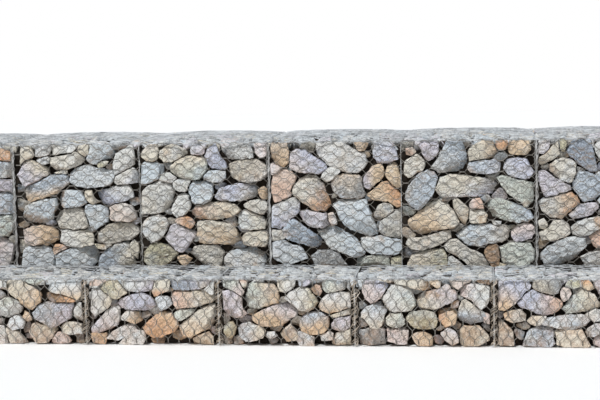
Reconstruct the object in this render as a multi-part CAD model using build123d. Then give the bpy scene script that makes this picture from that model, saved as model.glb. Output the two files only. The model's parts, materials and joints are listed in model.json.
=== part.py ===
from build123d import *
from math import sqrt
import os

# Gabion retaining wall: two courses of wire baskets packed with broken rock.
# X runs along the wall, -Y is the exposed face and Z is up from the level it
# stands on. The origin is under the middle of the lower course.

# Layout of the courses
bay = 1000.0
lower_bays = 7
lower_depth = 1500.0
lower_height = 500.0
upper_baskets = [1, 2, 2, 1]
upper_depth = 1000.0
upper_height = 960.0
bond_offset = 320.0

# Wire of the panel edges and of the lacing that ties them together
edge_wire = 4.0
lacing_wire = 3.0
lacing_pitch = 155.0
lacing_stop = 25.0
clearance = 0.3

# How far the filled panels belly out, along the wall or depth and up the
# height, and how round the packed edges are
face_bow = 28.0
face_bow_up = 34.0
end_bow = 20.0
end_bow_up = 25.0
lower_lid_bow = 18.0
lower_lid_bow_back = 22.0
upper_lid_bow = 35.0
upper_lid_bow_back = 42.0
seam_round = 42.0
diaphragm_round = 20.0
lid_round = 60.0
lid_seam_round = 24.0

# Places that follow from the sizes above
lower_left = -lower_bays * bay / 2
lower_front = -lower_depth / 2
back = lower_depth / 2
upper_left = lower_left + bond_offset
upper_front = back - upper_depth
basket_inset = clearance / 2 + edge_wire + clearance
diaphragm_inset = edge_wire / 2 + clearance
face_inset = edge_wire + clearance


def bowed_outline(points, bows):
    """Closed face through points given counter-clockwise. Each side is an arc
    that bellies out by its bow, or a straight line where that is zero."""
    sides = []
    for i, start in enumerate(points):
        end = points[(i + 1) % len(points)]
        if bows[i] == 0:
            sides.append(Line(start, end))
            continue
        along = Vector(*end) - Vector(*start)
        outward = Vector(along.Y, -along.X).normalized()
        middle = (Vector(*start) + Vector(*end)) / 2 + outward * bows[i]
        sides.append(ThreePointArc(start, middle, end))
    return make_face(sides)


def round_corner(face, point, radius):
    """Fillet the corner of a flat outline that lies at a point."""
    corner = face.vertices().sort_by_distance(Vector(*point))[0]
    return fillet(corner, radius)


def crossed(plan, side, elevation, reach):
    """The solid that shows the plan from above, the side outline from the end
    and the elevation from the front."""
    solid = extrude(plan, amount=reach)
    solid = solid & extrude(Plane.YZ * side, amount=reach, both=True)
    return solid & extrude(Plane.XZ * elevation, amount=reach, both=True)


def rock_fill(width, depth, height, rounds, ends, strip, lid_bows):
    """Packed rock of one bay, standing on Z = 0 with its front left corner at
    the origin. rounds holds the radius of the left and right seam edges, ends
    whether the left and right sides are free and belly out, and strip the
    depth of the top that stays uncovered and bellies up, by lid_bows along
    the wall and back from its face."""
    plinth = face_inset
    lid_bow, lid_bow_back = lid_bows
    left_bow, right_bow = [end_bow if free else 0 for free in ends]
    plan_points = [(0, 0), (width, 0), (width, depth), (0, depth)]
    plan = bowed_outline(plan_points, [face_bow, right_bow, face_bow, left_bow])
    for point, radius in zip(plan_points, [rounds[0], rounds[1], rounds[1], rounds[0]]):
        plan = round_corner(plan, point, radius)

    side_points = [(0, 0), (depth, 0), (depth, plinth), (depth, height), (strip, height)]
    side_bows = [0, 0, face_bow_up, 0, lid_bow_back]
    if strip == depth:
        side_points.pop()
        side_bows = [0, 0, face_bow_up, lid_bow_back]
    side_points += [(0, height), (0, plinth)]
    side_bows += [face_bow_up, 0]
    side = bowed_outline(side_points, side_bows)
    side = round_corner(side, (0, height), lid_round)
    side = round_corner(side, (depth, height), lid_round)

    elevation_points = [
        (0, 0), (width, 0), (width, plinth), (width, height), (0, height), (0, plinth)
    ]
    left_bow, right_bow = [end_bow_up if free else 0 for free in ends]
    elevation_bows = [0, 0, right_bow, lid_bow, left_bow, 0]
    elevation = bowed_outline(elevation_points, elevation_bows)
    for x, free in zip([0, width], ends):
        radius = lid_round if free else lid_seam_round
        elevation = round_corner(elevation, (x, height), radius)

    reach = 1.2 * max(width, depth, height)
    return crossed(plan, side, elevation, reach)


def wire_box(width, depth, height):
    """The twelve edge wires of an open basket, from its front left corner."""
    low = (Align.MIN, Align.MIN, Align.MIN)
    inner = (width - 2 * edge_wire, depth - 2 * edge_wire, height - 2 * edge_wire)
    frame = Box(width, depth, height, align=low)
    frame -= Pos(edge_wire, edge_wire, 0) * Box(inner[0], inner[1], height, align=low)
    frame -= Pos(edge_wire, 0, edge_wire) * Box(inner[0], depth, inner[2], align=low)
    frame -= Pos(0, edge_wire, edge_wire) * Box(width, inner[1], inner[2], align=low)
    return frame


def wire_ring(width, depth):
    """The four edge wires of a flat panel that lies on Z = 0."""
    low = (Align.MIN, Align.MIN, Align.MIN)
    ring = Box(width, depth, edge_wire, align=low)
    hole = Box(width - 2 * edge_wire, depth - 2 * edge_wire, edge_wire, align=low)
    return ring - Pos(edge_wire, edge_wire, 0) * hole


def lacing(length, bundle_x, bundle_y):
    """Spiral of lacing wire round a bundle of edge wires that stands on Z. It
    starts and stops short of the bundle's ends, and its square section turns
    as it winds, so it is held off by its half diagonal."""
    turned_half = lacing_wire / 2 * sqrt(2)
    half_x = bundle_x / 2 + clearance + turned_half
    half_y = bundle_y / 2 + clearance + turned_half
    corners = [(-half_x, -half_y), (half_x, -half_y), (half_x, half_y), (-half_x, half_y)]
    run = length - 2 * lacing_stop
    steps = 4 * max(1, int(run / lacing_pitch))
    points = []
    for step in range(steps + 1):
        x, y = corners[step % 4]
        points.append(Vector(x, y, lacing_stop + run * step / steps))
    path = Polyline(*points)
    start = Plane(origin=points[0], x_dir=(0, 1, 0), z_dir=points[1] - points[0])
    section = start * Rectangle(lacing_wire, lacing_wire)
    return sweep(section, path=path, transition=Transition.RIGHT)


def seam_lacing(x, front, base, height, wires):
    """Lacing up one seam of a front, round the post wires that meet there."""
    bundle = wires * edge_wire + (wires - 1) * clearance
    spiral = lacing(height - edge_wire - clearance, bundle, edge_wire)
    return Pos(x, front + edge_wire / 2, base) * spiral


def lid_lacing(left, width, front, top):
    """Lacing along the front of one lid, round its wire and the basket's."""
    bundle = 2 * edge_wire + clearance
    spiral = Rot(0, 90, 0) * lacing(width, bundle, edge_wire)
    return Pos(left, front + edge_wire / 2, top - bundle / 2) * spiral


def course_bays(baskets):
    """For each bay of a course, whether its left and right side is a free end,
    a seam between two baskets or a diaphragm inside one."""
    sides = []
    for basket, bays in enumerate(baskets):
        for i in range(bays):
            left = "diaphragm" if i else "seam"
            right = "diaphragm" if i < bays - 1 else "seam"
            if basket == 0 and i == 0:
                left = "end"
            if basket == len(baskets) - 1 and i == bays - 1:
                right = "end"
            sides.append((left, right))
    return sides


def course_fills(baskets, left, front, depth, base, height, strip, lid_bows):
    """The rock of one course, one solid for each bay."""
    insets = {"end": basket_inset, "seam": basket_inset, "diaphragm": diaphragm_inset}
    radii = {"end": seam_round, "seam": seam_round, "diaphragm": diaphragm_round}
    fills = []
    for i, (start, end) in enumerate(course_bays(baskets)):
        x = left + i * bay + insets[start]
        width = bay - insets[start] - insets[end]
        fill = rock_fill(
            width,
            depth - 2 * face_inset,
            height,
            (radii[start], radii[end]),
            (start == "end", end == "end"),
            strip,
            lid_bows,
        )
        fills.append(Pos(x, front + face_inset, base) * fill)
    return fills


def course_wires(baskets, left, front, depth, base, height):
    """The wire baskets of one course and their lids."""
    boxes = []
    lids = []
    x = left
    for bays in baskets:
        width = bays * bay - clearance
        corner = Pos(x + clearance / 2, front, base)
        boxes.append(corner * wire_box(width, depth, height - edge_wire - clearance))
        lids.append(corner * Pos(0, 0, height - edge_wire) * wire_ring(width, depth))
        x += bays * bay
    return boxes, lids


def course_lacing(baskets, left, front, base, height):
    """The seam lacing and the lid lacing along the front of one course."""
    seams = []
    lids = []
    x = left
    for i, bays in enumerate(baskets):
        if i == 0:
            seams.append(seam_lacing(x + (clearance + edge_wire) / 2, front, base, height, 1))
        else:
            seams.append(seam_lacing(x, front, base, height, 2))
        lids.append(lid_lacing(x, bays * bay, front, base + height))
        x += bays * bay
    seams.append(seam_lacing(x - (clearance + edge_wire) / 2, front, base, height, 1))
    return Compound(children=seams), Compound(children=lids)


def diaphragms(baskets, left, front, depth, base, height):
    """The cross panels inside baskets that are longer than one bay."""
    panels = []
    x = left
    tall = height - 2 * edge_wire - 2 * clearance - edge_wire
    for bays in baskets:
        for i in range(1, bays):
            ring = Rot(0, -90, 0) * wire_ring(tall, depth - 2 * face_inset)
            corner = Pos(x + i * bay + edge_wire / 2, front + face_inset, base + face_inset)
            panels.append(corner * ring)
        x += bays * bay
    return panels


def save(name, shape):
    export_step(shape, "parts/" + name + ".step")


def save_all(name, shapes):
    for number, shape in enumerate(shapes, start=1):
        save(name + "_" + str(number), shape)


os.makedirs("parts", exist_ok=True)

# Lower course: header baskets one bay wide, with a strip of lid in front
lower_baskets = [1] * lower_bays
lower_strip = lower_depth - upper_depth - face_inset - clearance
lower = (lower_baskets, lower_left, lower_front)
lower_bows = (lower_lid_bow, lower_lid_bow_back)
lower_size = (lower_depth, 0, lower_height)
save_all("lower_fill", course_fills(*lower, *lower_size, lower_strip, lower_bows))
lower_boxes, lower_lids = course_wires(*lower, *lower_size)
save_all("lower_basket", lower_boxes)
save_all("lower_lid", lower_lids)
lower_seam_lacing, lower_lid_lacing = course_lacing(*lower, 0, lower_height)
save("lower_seam_lacing", lower_seam_lacing)
save("lower_lid_lacing", lower_lid_lacing)

# Upper course: set back, its back flush with the lower one
upper = (upper_baskets, upper_left, upper_front)
upper_strip = upper_depth - 2 * face_inset
upper_bows = (upper_lid_bow, upper_lid_bow_back)
upper_size = (upper_depth, lower_height, upper_height)
save_all("upper_fill", course_fills(*upper, *upper_size, upper_strip, upper_bows))
upper_boxes, upper_lids = course_wires(*upper, *upper_size)
save_all("upper_basket", upper_boxes)
save_all("upper_lid", upper_lids)
upper_seam_lacing, upper_lid_lacing = course_lacing(*upper, lower_height, upper_height)
save("upper_seam_lacing", upper_seam_lacing)
save("upper_lid_lacing", upper_lid_lacing)
save_all("diaphragm", diaphragms(*upper, *upper_size))
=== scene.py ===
import json
import math
import random

import bmesh
import bpy
from mathutils import Matrix, Vector, noise

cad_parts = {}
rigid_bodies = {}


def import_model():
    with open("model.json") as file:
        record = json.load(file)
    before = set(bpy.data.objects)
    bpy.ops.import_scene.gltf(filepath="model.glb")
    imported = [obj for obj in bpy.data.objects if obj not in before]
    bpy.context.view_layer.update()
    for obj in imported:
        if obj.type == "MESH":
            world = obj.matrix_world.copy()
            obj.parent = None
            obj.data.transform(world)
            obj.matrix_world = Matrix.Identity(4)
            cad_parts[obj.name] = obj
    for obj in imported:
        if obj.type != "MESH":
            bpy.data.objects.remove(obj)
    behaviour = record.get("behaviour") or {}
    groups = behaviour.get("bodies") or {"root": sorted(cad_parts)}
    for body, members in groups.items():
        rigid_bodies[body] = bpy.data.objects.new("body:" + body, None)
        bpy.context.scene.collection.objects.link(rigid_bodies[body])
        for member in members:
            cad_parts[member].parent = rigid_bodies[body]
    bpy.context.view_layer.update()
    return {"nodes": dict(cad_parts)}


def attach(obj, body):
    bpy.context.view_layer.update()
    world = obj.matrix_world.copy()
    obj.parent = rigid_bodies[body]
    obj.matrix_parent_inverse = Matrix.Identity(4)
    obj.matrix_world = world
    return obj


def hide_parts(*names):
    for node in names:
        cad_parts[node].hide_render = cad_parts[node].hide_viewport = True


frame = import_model()

# Gabion wall: the baskets, lids and lacing come from the CAD. Here each bay is
# packed with single stones and every panel is woven over them.

bay = 1.0
upper = {
    "name": "upper", "left": -3.18, "front": -0.25, "back": 0.75, "base": 0.5, "height": 0.96,
    "bays": 6, "baskets": (1, 2, 2, 1), "covered": (4,),   # the seam that stones cover
    "seamRoom": {"laced": 0.014, "plain": 0.007},          # kept free of stones beside a seam
    "lidBow": 0.036, "upright": False, "seamTie": "laced",
    "seeds": {"rock": 100, "mesh": 1, "ties": 1},
}
lower = {
    "name": "lower", "left": -3.5, "front": -0.75, "back": 0.75, "base": 0.0, "height": 0.5,
    "bays": 7, "baskets": (1,) * 7, "covered": (),
    "seamRoom": {"laced": 0.030},
    "lidBow": 0.018, "upright": True, "seamTie": "loose",
    "seeds": {"rock": 400, "mesh": 11, "ties": 301},
}
upper["lidDepth"] = upper["back"] - upper["front"]
lower["lidDepth"] = upper["front"] - lower["front"]
faceBow = 0.028
endBow = 0.018
seenDepth = 0.018   # the seen stones stand this far out of the wires

view = {
    "place": (1.40, -10.75, 2.24), "yaw": -7.3, "pitch": 6.6, "roll": -1.2, "focalPixels": 1409.0,
    "width": 600.0, "height": 400.0, "sensor": 36.0,
}


def viewAxes():
    # the camera's right, up and forward
    yaw, pitch, roll = (math.radians(view[k]) for k in ("yaw", "pitch", "roll"))
    flat = math.cos(pitch)
    ahead = Vector((math.sin(yaw) * flat, math.cos(yaw) * flat, -math.sin(pitch)))
    level = Vector((math.cos(yaw), -math.sin(yaw), 0))
    overhead = level.cross(ahead)
    right = level * math.cos(roll) + overhead * math.sin(roll)
    above = overhead * math.cos(roll) - level * math.sin(roll)
    return right, above, ahead


def onFront(px, py, plane):
    # where the sight line of a pixel meets an upright plane along the wall
    right, above, ahead = viewAxes()
    sight = ahead * view["focalPixels"] + right * (px - view["width"] / 2)
    sight = sight - above * (py - view["height"] / 2)
    reach = (plane - view["place"][1]) / sight.y
    return view["place"][0] + sight.x * reach, view["place"][2] + sight.z * reach


# Stones of the seen fronts, bay by bay: tone, then the corners of the outline
# as they were read off the photograph, in its 600 x 400 pixels, and
# where a stone turns to another tone, that tone and the way it lies in degrees.
upperStones = {
    1: [
        ("orange", ((-8, 151), (8, 152), (12, 156), (11, 161), (6, 162), (-8, 160))),
        ("blueGrey", ((-8, 161), (4, 162), (12, 165), (13, 172), (11, 178), (-8, 178))),
        ("mauve", ((-8, 180), (10, 181), (13, 186), (11, 193), (4, 191), (-8, 192))),
        ("blueGrey", ((-8, 194), (6, 193), (11, 197), (13, 205), (12, 213), (4, 215), (-8, 214))),
        ("greenGrey", ((-8, 217), (9, 216), (12, 221), (10, 231), (6, 237), (-8, 234))),
        ("pinkGrey", ((-8, 238), (6, 240), (11, 243), (10, 256), (7, 262), (-4, 265),
            (-12, 262))),
    ],
    2: [
        ("beige", ((19, 150), (28, 150), (32, 156), (30, 158), (24, 160), (19, 164))),
        ("grey", ((33, 150), (41, 148), (50, 150), (47, 155), (40, 157), (34, 157))),
        ("paleGrey", ((51, 148), (66, 147), (77, 149), (72, 152), (60, 153), (51, 156))),
        ("cream", ((78, 149), (88, 149), (88, 155), (84, 157), (77, 152))),
        ("paleBlue", ((90, 150), (110, 149), (112, 154), (108, 159), (100, 160), (95, 165),
            (88, 163), (85, 159))),
        ("olive", ((97, 164), (103, 161), (107, 162), (104, 166), (98, 168))),
        ("paleGrey", ((115, 154), (120, 151), (130, 150), (133, 156), (133, 165), (124, 171),
            (114, 175), (112, 165))),
        ("grey", ((34, 161), (46, 157), (49, 159), (48, 163), (42, 165))),
        ("mauve", ((20, 165), (25, 161), (33, 162), (41, 165), (46, 170), (47, 175), (38, 180),
            (30, 185), (24, 187), (20, 181), (17, 175)), "beige", 60),
        ("beigeGrey", ((50, 158), (70, 155), (76, 152), (80, 156), (83, 160), (79, 164),
            (68, 169), (55, 171), (50, 166))),
        ("cream", ((54, 173), (60, 171), (67, 171), (66, 174), (56, 174))),
        ("blueGrey", ((17, 193), (24, 187), (38, 182), (50, 176), (62, 174), (67, 176), (68, 183),
            (56, 193), (40, 199), (26, 203), (21, 199)), "tan", -80),
        ("coolGrey", ((68, 175), (73, 170), (82, 166), (92, 168), (104, 170), (111, 170),
            (113, 176), (112, 183), (104, 186), (88, 188), (76, 186), (69, 183))),
        ("paleGrey", ((115, 177), (121, 173), (131, 168), (136, 172), (136, 183), (125, 184),
            (116, 185), (113, 182))),
        ("paleBlue", ((56, 196), (61, 191), (72, 191), (81, 192), (84, 197), (86, 203), (80, 206),
            (62, 209), (58, 204))),
        ("beige", ((84, 191), (91, 191), (93, 197), (98, 203), (92, 205), (87, 200), (83, 195))),
        ("mauveBlue", ((95, 193), (104, 190), (118, 186), (129, 187), (132, 192), (133, 197),
            (124, 201), (110, 205), (102, 205), (96, 199)), "paleGrey", 60),
        ("paleBlue", ((24, 207), (38, 201), (55, 199), (56, 205), (51, 219), (48, 225), (31, 226),
            (20, 222))),
        ("beigeGrey", ((52, 214), (65, 210), (75, 208), (82, 210), (85, 217), (88, 225),
            (84, 229), (72, 231), (58, 228), (53, 221))),
        ("paleBlue", ((86, 206), (93, 204), (103, 207), (108, 213), (106, 222), (100, 226),
            (95, 230), (90, 226), (88, 220), (84, 212))),
        ("creamPink", ((108, 209), (113, 205), (121, 203), (130, 206), (134, 212), (135, 219),
            (128, 223), (117, 222), (109, 219))),
        ("tan", ((21, 231), (30, 228), (40, 225), (50, 228), (57, 232), (57, 240), (47, 245),
            (33, 247), (22, 244))),
        ("paleGrey", ((58, 231), (70, 231), (80, 231), (90, 231), (92, 238), (93, 245), (80, 248),
            (68, 247), (59, 243)), "cream", 0),
        ("darkBeige", ((100, 230), (106, 226), (118, 223), (130, 224), (137, 228), (138, 233),
            (130, 240), (118, 243), (105, 244), (94, 243), (96, 236))),
        ("orange", ((55, 245), (61, 245), (69, 248), (60, 252), (54, 255), (53, 250))),
        ("beige", ((94, 244), (105, 244), (112, 245), (106, 250), (97, 248))),
        ("coolGrey", ((21, 248), (33, 247), (42, 246), (48, 249), (53, 255), (52, 261), (44, 265),
            (28, 269), (21, 262))),
        ("paleBlue", ((54, 256), (60, 252), (71, 248), (82, 246), (92, 248), (97, 253), (96, 260),
            (90, 266), (78, 267), (62, 265), (55, 262))),
        ("blueGrey", ((98, 258), (105, 250), (115, 244), (126, 243), (130, 246), (134, 255),
            (133, 262), (118, 263), (106, 266), (97, 264)), "beige", -10),
        ("cream", ((129, 245), (133, 241), (137, 244), (138, 251), (136, 259), (131, 254))),
    ],
    3: [
        ("cream", ((141, 152), (148, 150), (156, 149), (157, 158), (152, 162), (145, 161),
            (141, 157))),
        ("paleBeige", ((159, 151), (170, 149), (182, 150), (188, 153), (180, 157), (172, 162),
            (163, 162), (158, 157))),
        ("paleBlue", ((139, 167), (143, 163), (152, 163), (162, 166), (161, 173), (158, 179),
            (150, 184), (140, 184), (138, 176))),
        ("mauve", ((188, 146), (198, 144), (205, 146), (204, 154), (195, 156), (190, 154))),
        ("greenGrey", ((170, 167), (174, 162), (186, 157), (198, 156), (205, 159), (206, 169),
            (201, 176), (198, 180), (190, 180), (175, 177), (170, 172)), "beige", 100),
        ("mauveBlue", ((205, 150), (214, 148), (218, 154), (224, 162), (227, 167), (224, 170),
            (212, 169), (207, 163), (204, 156))),
        ("grey", ((218, 149), (230, 146), (248, 147), (252, 151), (252, 158), (240, 159),
            (226, 160), (221, 154))),
        ("pinkGrey", ((251, 147), (259, 144), (266, 147), (266, 156), (260, 158), (255, 153))),
        ("darkBeige", ((227, 165), (238, 161), (254, 160), (262, 163), (267, 168), (266, 174),
            (261, 180), (250, 183), (238, 182), (230, 177))),
        ("paleBlue", ((203, 177), (208, 172), (216, 170), (225, 172), (225, 178), (221, 182),
            (208, 182), (202, 180))),
        ("beigeGrey", ((142, 192), (150, 184), (158, 181), (166, 181), (171, 186), (172, 190),
            (170, 204), (168, 211), (160, 213), (150, 214), (140, 214),
            (139, 205)), "paleGrey", 60),
        ("paleGrey", ((173, 182), (180, 179), (189, 181), (188, 189), (184, 192), (179, 191),
            (173, 188))),
        ("paleGrey", ((174, 203), (178, 196), (184, 194), (189, 196), (190, 204), (189, 210),
            (183, 216), (177, 219), (172, 214), (170, 209))),
        ("paleBlue", ((188, 186), (193, 182), (204, 182), (211, 184), (212, 192), (210, 201),
            (203, 205), (195, 204), (190, 200), (188, 194))),
        ("mauveBlue", ((215, 198), (219, 190), (228, 186), (240, 184), (248, 185), (254, 188),
            (257, 195), (250, 199), (240, 201), (228, 200), (218, 201))),
        ("tan", ((258, 190), (263, 187), (267, 190), (267, 200), (262, 199), (259, 195))),
        ("beige", ((190, 211), (195, 207), (206, 204), (216, 202), (226, 203), (236, 206),
            (240, 211), (233, 216), (222, 219), (210, 220), (198, 220),
            (191, 216)), "pinkTan", 180),
        ("beigeGrey", ((243, 205), (250, 202), (258, 200), (266, 203), (267, 209), (263, 214),
            (256, 214), (248, 209))),
        ("paleBeige", ((239, 214), (243, 211), (249, 211), (256, 214), (262, 218), (266, 223),
            (264, 229), (252, 230), (242, 229), (238, 221))),
        ("paleGrey", ((143, 222), (150, 217), (158, 216), (165, 219), (168, 224), (164, 233),
            (160, 239), (152, 244), (146, 238), (141, 230))),
        ("orange", ((175, 219), (184, 216), (191, 220), (194, 223), (190, 229), (182, 226),
            (176, 223))),
        ("paleMauve", ((171, 226), (176, 224), (186, 229), (194, 233), (193, 238), (187, 248),
            (182, 253), (175, 251), (168, 244), (164, 239))),
        ("creamOrange", ((196, 223), (204, 221), (216, 222), (232, 225), (236, 233), (240, 241),
            (239, 246), (228, 245), (212, 244), (199, 243), (196, 236)), "paleBeige", 90),
        ("cream", ((241, 238), (247, 233), (258, 232), (266, 232), (267, 240), (265, 247),
            (254, 247), (245, 245))),
        ("olive", ((142, 254), (148, 247), (155, 243), (162, 245), (170, 249), (177, 254),
            (172, 260), (162, 264), (148, 262), (142, 260))),
        ("beigeGrey", ((188, 253), (194, 248), (204, 246), (216, 247), (222, 252), (223, 257),
            (219, 261), (204, 261), (194, 259))),
        ("paleBlue", ((223, 258), (228, 253), (238, 250), (250, 248), (264, 249), (267, 254),
            (263, 262), (256, 267), (242, 267), (230, 267), (225, 263))),
        ("tan", ((177, 257), (186, 256), (191, 259), (184, 261), (178, 260))),
    ],
    4: [
        ("tan", ((271, 144), (280, 142), (286, 144), (288, 152), (288, 163), (282, 168),
            (275, 165), (271, 157))),
        ("mauveBlue", ((290, 153), (296, 150), (305, 151), (313, 157), (320, 161), (326, 165),
            (325, 170), (318, 174), (306, 173), (296, 172), (290, 168), (289, 160))),
        ("white", ((312, 147), (318, 144), (330, 145), (341, 146), (355, 151), (364, 154),
            (367, 162), (362, 170), (356, 175), (345, 172), (332, 169), (324, 162), (316, 155))),
        ("tan", ((354, 147), (361, 145), (368, 146), (364, 151), (358, 151))),
        ("mauveBlue", ((373, 146), (380, 143), (390, 146), (396, 153), (398, 159), (390, 163),
            (379, 164), (373, 158))),
        ("pinkTan", ((274, 174), (281, 170), (290, 172), (295, 177), (291, 188), (290, 196),
            (284, 200), (275, 203), (271, 192), (272, 180))),
        ("beigeGrey", ((291, 190), (297, 182), (307, 175), (313, 176), (322, 183), (330, 192),
            (333, 200), (329, 207), (324, 213), (314, 210), (302, 202),
            (294, 197)), "orange", -30),
        ("darkGrey", ((331, 184), (334, 176), (345, 175), (358, 175), (362, 180), (363, 190),
            (365, 195), (362, 199), (350, 199), (339, 197), (333, 191))),
        ("creamOrange", ((362, 181), (367, 173), (373, 167), (380, 164), (384, 170), (383, 177),
            (377, 183), (369, 189), (364, 187)), "mauve", 200),
        ("creamOrange", ((385, 170), (388, 166), (392, 161), (396, 165), (399, 174), (404, 183),
            (403, 187), (396, 188), (390, 183), (386, 177))),
        ("creamOrange", ((366, 196), (372, 191), (382, 183), (388, 182), (393, 188), (400, 195),
            (405, 202), (404, 207), (396, 207), (388, 201), (374, 200)), "orange", 30),
        ("mauveBlue", ((270, 209), (278, 203), (290, 199), (295, 197), (299, 203), (298, 213),
            (291, 219), (285, 227), (278, 229), (271, 226), (270, 217)), "paleGrey", 90),
        ("paleMauve", ((298, 214), (306, 211), (318, 213), (326, 213), (328, 220), (330, 225),
            (321, 228), (311, 227), (303, 222))),
        ("creamPink", ((328, 214), (333, 213), (336, 219), (337, 225), (331, 226), (328, 220))),
        ("paleBlue", ((332, 205), (340, 201), (355, 200), (366, 200), (368, 208), (372, 218),
            (377, 230), (378, 236), (370, 238), (360, 233), (350, 230), (344, 225), (338, 217),
            (335, 210))),
        ("beigeGrey", ((373, 216), (378, 207), (384, 203), (391, 206), (393, 211), (386, 217),
            (379, 220), (374, 219))),
        ("beigeGrey", ((380, 222), (388, 217), (396, 212), (403, 209), (409, 215), (406, 227),
            (402, 237), (394, 239), (384, 236), (379, 231)), "paleGrey", 90),
        ("blue", ((283, 226), (286, 222), (292, 219), (300, 224), (310, 232), (320, 240),
            (326, 247), (322, 250), (312, 247), (301, 244), (288, 240), (282, 234))),
        ("paleBlue", ((317, 232), (325, 229), (334, 226), (341, 226), (346, 231), (354, 238),
            (360, 246), (365, 253), (361, 257), (355, 258), (346, 254), (332, 250), (326, 245))),
        ("paleBlue", ((360, 239), (368, 238), (378, 236), (384, 238), (396, 239), (403, 243),
            (401, 250), (396, 255), (385, 255), (372, 254), (366, 252), (362, 245))),
        ("whiteBlue", ((270, 246), (275, 241), (281, 240), (290, 245), (300, 248), (305, 254),
            (307, 259), (300, 260), (288, 261), (275, 260), (270, 254))),
        ("darkGrey", ((311, 257), (318, 252), (330, 251), (339, 255), (347, 261), (351, 266),
            (340, 269), (325, 268), (314, 265))),
        ("greenGrey", ((353, 264), (358, 259), (368, 257), (382, 256), (388, 258), (390, 266),
            (380, 268), (362, 268), (354, 267))),
        ("olive", ((391, 259), (399, 257), (403, 259), (404, 266), (398, 269), (391, 267))),
    ],
    5: [
        ("pinkTan", ((406, 149), (412, 148), (416, 152), (411, 156), (406, 155))),
        ("mauve", ((419, 147), (426, 145), (437, 146), (438, 151), (433, 159), (428, 161),
            (423, 155))),
        ("beigeGrey", ((405, 163), (407, 160), (416, 154), (421, 158), (425, 163), (423, 170),
            (415, 174), (408, 178), (404, 174))),
        ("blueGrey", ((447, 145), (460, 143), (465, 149), (468, 161), (465, 169), (458, 172),
            (438, 172), (431, 168), (439, 157))),
        ("cream", ((468, 152), (472, 147), (482, 145), (492, 146), (496, 150), (500, 155),
            (492, 159), (480, 160), (470, 161), (469, 157)), "tan", 0),
        ("orange", ((496, 144), (501, 142), (508, 145), (506, 150), (501, 151), (497, 148))),
        ("creamOrange", ((507, 150), (510, 146), (520, 143), (528, 146), (531, 150), (528, 154),
            (518, 155), (510, 153))),
        ("blueGrey", ((469, 164), (480, 162), (493, 160), (500, 159), (501, 166), (498, 172),
            (488, 174), (470, 172), (467, 168))),
        ("mauveBlue", ((502, 163), (508, 160), (518, 158), (527, 160), (530, 167), (534, 172),
            (530, 178), (520, 179), (508, 175), (503, 169))),
        ("blueGrey", ((412, 181), (418, 174), (428, 171), (433, 172), (438, 180), (435, 190),
            (431, 197), (425, 205), (418, 211), (411, 207), (405, 200), (406, 192))),
        ("paleBeige", ((434, 190), (440, 178), (450, 175), (472, 177), (494, 180), (500, 187),
            (497, 195), (480, 196), (455, 198), (441, 197)), "mauveBlue", -60),
        ("greenGrey", ((497, 178), (502, 176), (510, 178), (522, 181), (535, 184), (536, 193),
            (533, 202), (527, 208), (520, 202), (511, 195), (503, 188))),
        ("creamOrange", ((408, 222), (420, 212), (430, 204), (440, 200), (447, 205), (455, 214),
            (459, 222), (455, 228), (440, 231), (428, 235), (415, 237),
            (408, 231)), "paleBeige", 40),
        ("paleBeige", ((453, 201), (458, 199), (463, 203), (469, 210), (468, 217), (465, 225),
            (461, 222), (456, 213), (453, 206))),
        ("pinkTan", ((470, 204), (473, 199), (480, 199), (483, 204), (484, 208), (470, 208))),
        ("cream", ((470, 210), (483, 210), (487, 216), (486, 222), (478, 224), (470, 223),
            (469, 216))),
        ("greenGrey", ((485, 206), (491, 200), (500, 199), (509, 202), (520, 207), (530, 211),
            (534, 218), (528, 222), (518, 223), (500, 219), (491, 216),
            (486, 211)), "blueGrey", 0),
        ("beigeGrey", ((408, 239), (420, 238), (434, 234), (444, 231), (450, 232), (451, 238),
            (444, 242), (434, 247), (422, 250), (411, 249), (406, 244))),
        ("paleBlue", ((456, 236), (461, 230), (470, 226), (482, 225), (496, 226), (507, 227),
            (510, 232), (509, 238), (502, 242), (490, 244), (480, 246), (468, 247), (461, 242))),
        ("white", ((492, 221), (501, 222), (500, 226), (494, 225))),
        ("pinkGrey", ((511, 233), (516, 227), (524, 224), (532, 225), (536, 230), (531, 238),
            (524, 241), (516, 242), (512, 237)), "mauve", -90),
        ("beigeGrey", ((444, 246), (450, 240), (459, 240), (470, 250), (483, 255), (489, 262),
            (486, 267), (474, 268), (463, 260), (454, 254), (446, 251))),
        ("beige", ((406, 264), (412, 256), (420, 253), (434, 250), (443, 250), (446, 256),
            (447, 264), (438, 267), (425, 267), (413, 267)), "olive", 0),
        ("brown", ((484, 254), (489, 246), (497, 245), (500, 252), (499, 262), (493, 263),
            (487, 260))),
        ("greenGrey", ((500, 248), (508, 244), (520, 243), (530, 244), (534, 250), (534, 260),
            (526, 264), (514, 266), (504, 262), (500, 256))),
        ("olive", ((494, 264), (500, 263), (506, 265), (503, 269), (497, 270))),
    ],
    6: [
        ("paleMauve", ((539, 146), (545, 142), (550, 144), (549, 149), (544, 154), (539, 153))),
        ("paleBeige", ((540, 158), (548, 152), (553, 146), (559, 145), (560, 154), (555, 158),
            (548, 162), (542, 166), (539, 163))),
        ("olive", ((559, 144), (563, 142), (567, 145), (565, 152), (560, 150))),
        ("darkBlue", ((569, 148), (574, 141), (584, 140), (591, 145), (594, 153), (596, 165),
            (597, 172), (591, 172), (583, 167), (575, 161), (570, 156), (567, 151))),
        ("paleGrey", ((595, 146), (601, 142), (608, 146), (606, 158), (600, 158), (596, 152))),
        ("beigeGrey", ((550, 166), (556, 161), (564, 159), (573, 160), (576, 166), (576, 173),
            (573, 181), (568, 184), (560, 181), (553, 175), (549, 171))),
        ("mauve", ((539, 172), (545, 171), (552, 176), (562, 181), (570, 186), (571, 190),
            (560, 194), (546, 198), (542, 190), (539, 181))),
        ("blueGrey", ((573, 183), (576, 176), (580, 171), (588, 173), (597, 176), (603, 182),
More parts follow.
